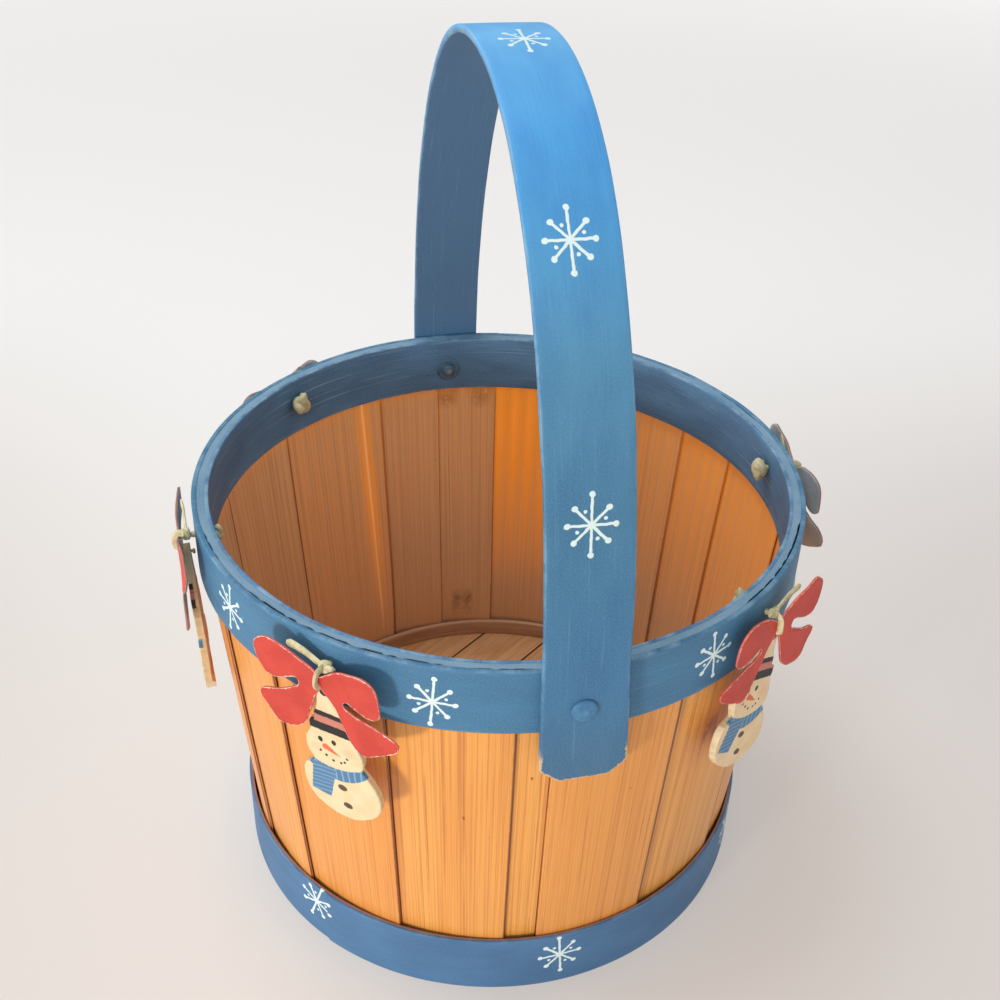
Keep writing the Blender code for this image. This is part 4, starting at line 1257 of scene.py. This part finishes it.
def cord(name, place, points, width, wall, reference, material, count, taper):
    # a flattened strand: (a cos s, b sin s) round the path, fluted, swelling from one end to the other
    path = evenCurve(np.array(points) * mm, count)
    s = np.linspace(0, circle, 24, endpoint=False)
    u = np.linspace(0, 1, count)[:, None]
    swell = taper[0] + (taper[1] - taper[0]) * u
    flute = 1 + 0.10 * np.sin(5 * s + 9 * u) + 0.05 * np.sin(13 * u + 2 * s)
    ends = np.clip(np.minimum(u, 1 - u) * 14, 0.25, 1) ** 0.5
    a, b = width / 2 * mm * np.cos(s) * flute * swell * ends, wall / 2 * mm * np.sin(s) * flute * ends
    local = strandAround(path, np.gradient(path, axis=0), reference, a, b)
    return addSurface(name, placed(local, place), material, pairs(u * 0.03, closed(s) * 0.0006), sharp=70)


def tiedKnot(name, place, centre, size, strand, squash, turn, material):
    # overhand knot: (sin t + 2 sin 2t, cos t - 2 cos 2t, -sin 3t), a fat strand that fills its own middle
    t = np.linspace(0, circle, 90, endpoint=False)
    loops = [np.sin(t) + 2 * np.sin(2 * t), np.cos(t) - 2 * np.cos(2 * t), -1.1 * np.sin(3 * t)]
    path = np.stack(loops, 1) * size / 3.0
    tangent = np.roll(path, -1, 0) - np.roll(path, 1, 0)
    s = np.linspace(0, circle, 16, endpoint=False)
    radius = strand * (1 + 0.12 * np.sin(4 * s + 3 * t[:, None]) + 0.1 * np.sin(5 * t)[:, None])
    ring = strandAround(path, tangent, path * [1, 1, 0.4], np.cos(s) * radius, np.sin(s) * radius)
    c, d = math.cos(turn), math.sin(turn)
    x, y, w = ring[..., 0], ring[..., 1], ring[..., 2]
    local = np.stack([x * c - y * d, x * d + y * c, w], -1) * squash * mm + np.array(centre) * mm
    uv = pairs(closed(t)[:, None] * 0.004, closed(s) * 0.0008)
    return addSurface(name, placed(local, place), material, uv, ends="joined", sharp=80)


def twine(number, place, material):
    # knotted inside the wall, through both bands, tied again outside, over the bow and into the figure's hole
    side = 1 if place[0] > 0 else -1
    drop = -ornamentShape["holeDrop"] / mm
    spin = number * 1.3
    band = -(rimRadius - innerOutside + innerWall) / mm
    big = 0.6 if number == 4 else 1.0
    knots = {  # middle, size, strand, squash and turn
        "InnerKnot": ((0, -0.6, band - 4.0 * big), 3.1 * big, 1.85 * big, (1.0, 1.15, 0.95), spin),
        "OuterKnot": ((0.6, 0.9, 3.3), 1.75, 1.15, (1.25, 0.85, 0.9), spin + 1),
        "StopKnot": ((0, drop, 1.25), 0.75, 0.45, (1, 1, 0.8), spin),
    }
    cords = {  # points, width, wall, flat side, how many rings and the swell at both ends
        "ThroughWall": ([(0, 0, band - 2.0), (0, 0, band / 2), (0, 0, 2.0)], 2.2, 2.2, (0, 1, 0), 30, (1, 1)),
        "OverBow": (
            [(0, 0.4, 3), (-0.3, 1.1, 5.4), (-0.6, 0.4, 7.3), (-0.8, -1.6, 7.9), (-0.9, -3.6, 8.0), (-0.7, -5.0, 7.8),
             (-0.5, -5.9, 7.0), (-0.2, -6.6, 5.4), (0, drop + 0.4, 3.6), (0, drop, 1.6)],
            3.4, 1.3, (1, 0, 0), 60, (1, 0.5),
        ),
        "Tail": (
            [(0, 0.4, 3.0), (side * 3.5, 2.2, 3.4), (side * 8, 4.4, 3.4), (side * 12, 6.0, 3.8),
             (side * 15, 6.8, 4.3)],
            2.9, 0.9, (0.15, 0.1, 1), 60, (0.75, 1.25),
        ),
        "ShortTail": (
            [(0, 0.2, 3.2), (-side * 1.2, 1.6, 4.0), (-side * 3.0, 2.3, 4.4), (-side * 4.4, 2.0, 4.6)],
            1.9, 0.8, (0.1, 0.2, 1), 30, (0.8, 1.0),
        ),
    }
    pieces = [tiedKnot(f"twine{number}{part}", place, *shape, material) for part, shape in knots.items()]
    for part, (points, width, wall, flat, count, taper) in cords.items():
        pieces.append(cord(f"twine{number}{part}", place, points, width, wall, flat, material, count, taper))
    seat(pieces[0], "basket", "twine_straw", f"ornament_{number}_twine")
    for piece in pieces[1:]:
        seat(piece, "basket", "twine_straw")


bowLooks = {
    "bowCoral": {
        "paint": srgb(208, 62, 46), "deep": srgb(194, 52, 38), "dust": srgb(224, 92, 74),
        "chip": srgb(248, 222, 204), "sanded": 0.9, "roughness": 0.5,
    },
    # cut edge of the two near bows, paler with painted highlight along it
    "bowCutEdgeLit": {
        "paint": srgb(226, 120, 100), "deep": srgb(208, 76, 60), "dust": srgb(248, 220, 204),
        "chip": srgb(222, 90, 76), "sanded": 0.0, "roughness": 0.6,
    },
    # grey backs, painted pale: partly painted light falling on them from behind
    "bowGreyBack": {
        "paint": srgb(196, 194, 190), "deep": srgb(178, 176, 172), "dust": srgb(214, 210, 204),
        "chip": srgb(206, 190, 182), "sanded": 0.8, "roughness": 0.5,
    },
    # the same edge duller for the four bows further round: a painted-shade copy
    "bowCutEdgeShaded": {
        "paint": srgb(168, 118, 106), "deep": srgb(138, 104, 96), "dust": srgb(196, 176, 166),
        "chip": srgb(190, 92, 80), "sanded": 0.0, "roughness": 0.6,
    },
}
twineLook = {"straw": srgb(196, 186, 140), "cream": srgb(226, 216, 180), "shade": srgb(140, 130, 84)}
figureMaterial = figurePaint("figureCream", figureLook)
bowPaints = {name: bowPaint(name, look) for name, look in bowLooks.items()}
straw = twineFibre("twineStraw", twineLook)
for number, place in enumerate(ornamentPlaces, 1):
    # the two near bows take the lit edge, the others its painted-shade copy
    cutEdge = bowPaints["bowCutEdgeLit" if number < 3 else "bowCutEdgeShaded"]
    figure(number, place, figureMaterial)
    bow(number, place, bowPaints["bowCoral"], cutEdge, bowPaints["bowGreyBack"])
    twine(number, place, straw)
print("ornaments done")


# Floor, light and camera

floorShape = {"size": 6.0, "under": (footRadius - 7 * mm, footRadius - 3 * mm), "away": (0.9, 2.8)}
floorLook = {
    "paper": srgb(236, 233, 230),
    "back": srgb(255, 254, 253),
    # front, right and left are painted shade on the floor, the right as a painted shadow of the basket
    "front": srgb(226, 214, 205),
    "right": srgb(196, 186, 182),
    "left": srgb(200, 188, 178),
    "away": srgb(255, 254, 252),
}


def floorMaterial(shape, look):
    # pale paper with painted shade, warmer and darker towards the front and both sides, the right as a painted shadow
    # of the basket, running out into white far off;
    # half of what the camera sees of it is its own even light, and none of that lies under the basket
    material, tree = newMaterial("paleFloor")
    place = objectPlace(tree)
    x, y = splitUp(place)
    fromMiddle = wire(tree, "ShaderNodeVectorMath", {0: place}, "Value", operation="LENGTH")
    away = step(fromMiddle, *shape["away"])
    colour = layered(blend(step(x, -0.55, 0.25), look["back"], look["front"]), look, [
        ("right", step(y, -0.15, 0.45) * step(x, -0.45, 0.0) * 0.9),
        ("left", step(y, -0.42, -0.08, flip=True) * step(x, -0.7, -0.1)),
        ("away", away),
    ])
    shader = tree.nodes["Principled BSDF"]
    shader.inputs["Base Color"].default_value = look["paper"]
    shader.inputs["Roughness"].default_value = 0.9
    shader.inputs["Specular IOR Level"].default_value = 0.1
    camera, glossy, through = (
        wire(tree, "ShaderNodeLightPath", {}, f"Is {ray} Ray") for ray in ("Camera", "Glossy", "Transmission")
    )
    seen = calc("MAXIMUM", calc("MAXIMUM", camera, glossy), through) * step(fromMiddle, *shape["under"])
    glow = wire(tree, "ShaderNodeEmission", {"Color": colour, "Strength": 1.0})
    share = seen * (away * 0.5 + 0.5)
    mixed = wire(tree, "ShaderNodeMixShader", {0: share, 1: Field(tree, shader.outputs[0]), 2: glow})
    putInto(tree.nodes["Material Output"].inputs[0], mixed, tree)
    return material


size = floorShape["size"]
floorMesh = bpy.data.meshes.new("floor")
corners = [(-size, -size, 0), (size, -size, 0), (size, size, 0), (-size, size, 0)]
floorMesh.from_pydata(corners, [], [(0, 1, 2, 3)])
floorMesh.materials.append(floorMaterial(floorShape, floorLook))
floorPiece = bpy.data.objects.new("floor", floorMesh)
bpy.context.scene.collection.objects.link(floorPiece)


def softLight(name, place, target, size, power, colour):
    # round area light at its place, turned to face the target
    light = bpy.data.lights.new(name, "AREA")
    light.shape = "DISK"
    light.size = size
    light.energy = power
    light.color = colour
    lamp = bpy.data.objects.new(name, light)
    lamp.location = place
    lamp.rotation_euler = (Vector(target) - Vector(place)).to_track_quat("-Z", "Y").to_euler()
    bpy.context.scene.collection.objects.link(lamp)


softLight("keyLight", (1.5, -0.5, 1.0), (0, 0, 0.12), 0.9, 3, (1, 1, 1))
softLight("leftLow", (0.95, -1.14, 0.24), (0, 0, 0.13), 0.24, 9.8, (1.0, 0.97, 0.93))
softLight("leftFill", (-0.3, -1.5, 0.5), (0, 0, 0.12), 1.0, 2.5, (1.0, 0.97, 0.93))
softLight("skyLight", (-0.4, -0.5, 2.0), (0, 0, 0.25), 1.2, 20, (0.93, 0.97, 1.0))
softLight("rightFill", (1.2, 1.2, 0.8), (0, 0, 0.12), 1.2, 2, (1, 1, 1))

world = bpy.data.worlds.new("studio")
world.use_nodes = True
bpy.context.scene.world = world
sky = world.node_tree.nodes["Background"]
sky.inputs["Color"].default_value = (1.0, 0.995, 0.985, 1)
rays = (wire(world.node_tree, "ShaderNodeLightPath", {}, f"Is {ray} Ray") for ray in ("Camera", "Transmission"))
putInto(sky.inputs["Strength"], calc("MAXIMUM", *rays) * 0.55 + 0.45, world.node_tree)

cameraShape = {
    "place": (0.44130, -0.10831, 0.47976),
    "forward": (-0.80214, 0.23155, -0.55042),
    "level": (0.27733, 0.96077, 0.0),
    "roll": 0.0541,
    "sensor": 36.0,
    "picture": 1000,  # the focal length and the middle are in its pixels
    "focal": 1283.44,
    "middle": (545.0, 485.0),
}
forward = Vector(cameraShape["forward"]).normalized()
level = Vector(cameraShape["level"]).normalized()
upright = level.cross(forward)
roll = cameraShape["roll"]
right = level * math.cos(roll) + upright * math.sin(roll)
up = upright * math.cos(roll) - level * math.sin(roll)
cameraData = bpy.data.cameras.new("camera")
cameraData.sensor_width = cameraShape["sensor"]
picture = cameraShape["picture"]
cameraData.lens = cameraShape["focal"] * cameraShape["sensor"] / picture
cameraData.shift_x = (picture / 2 - cameraShape["middle"][0]) / picture
cameraData.shift_y = (cameraShape["middle"][1] - picture / 2) / picture
cameraData.clip_start = 0.01
camera = bpy.data.objects.new("camera", cameraData)
pose = Matrix((right, up, -forward)).transposed().to_4x4()
pose.translation = cameraShape["place"]
camera.matrix_world = pose
bpy.context.scene.collection.objects.link(camera)
bpy.context.scene.camera = camera
bpy.context.scene.view_settings.view_transform = "Standard"

print("scene ready")
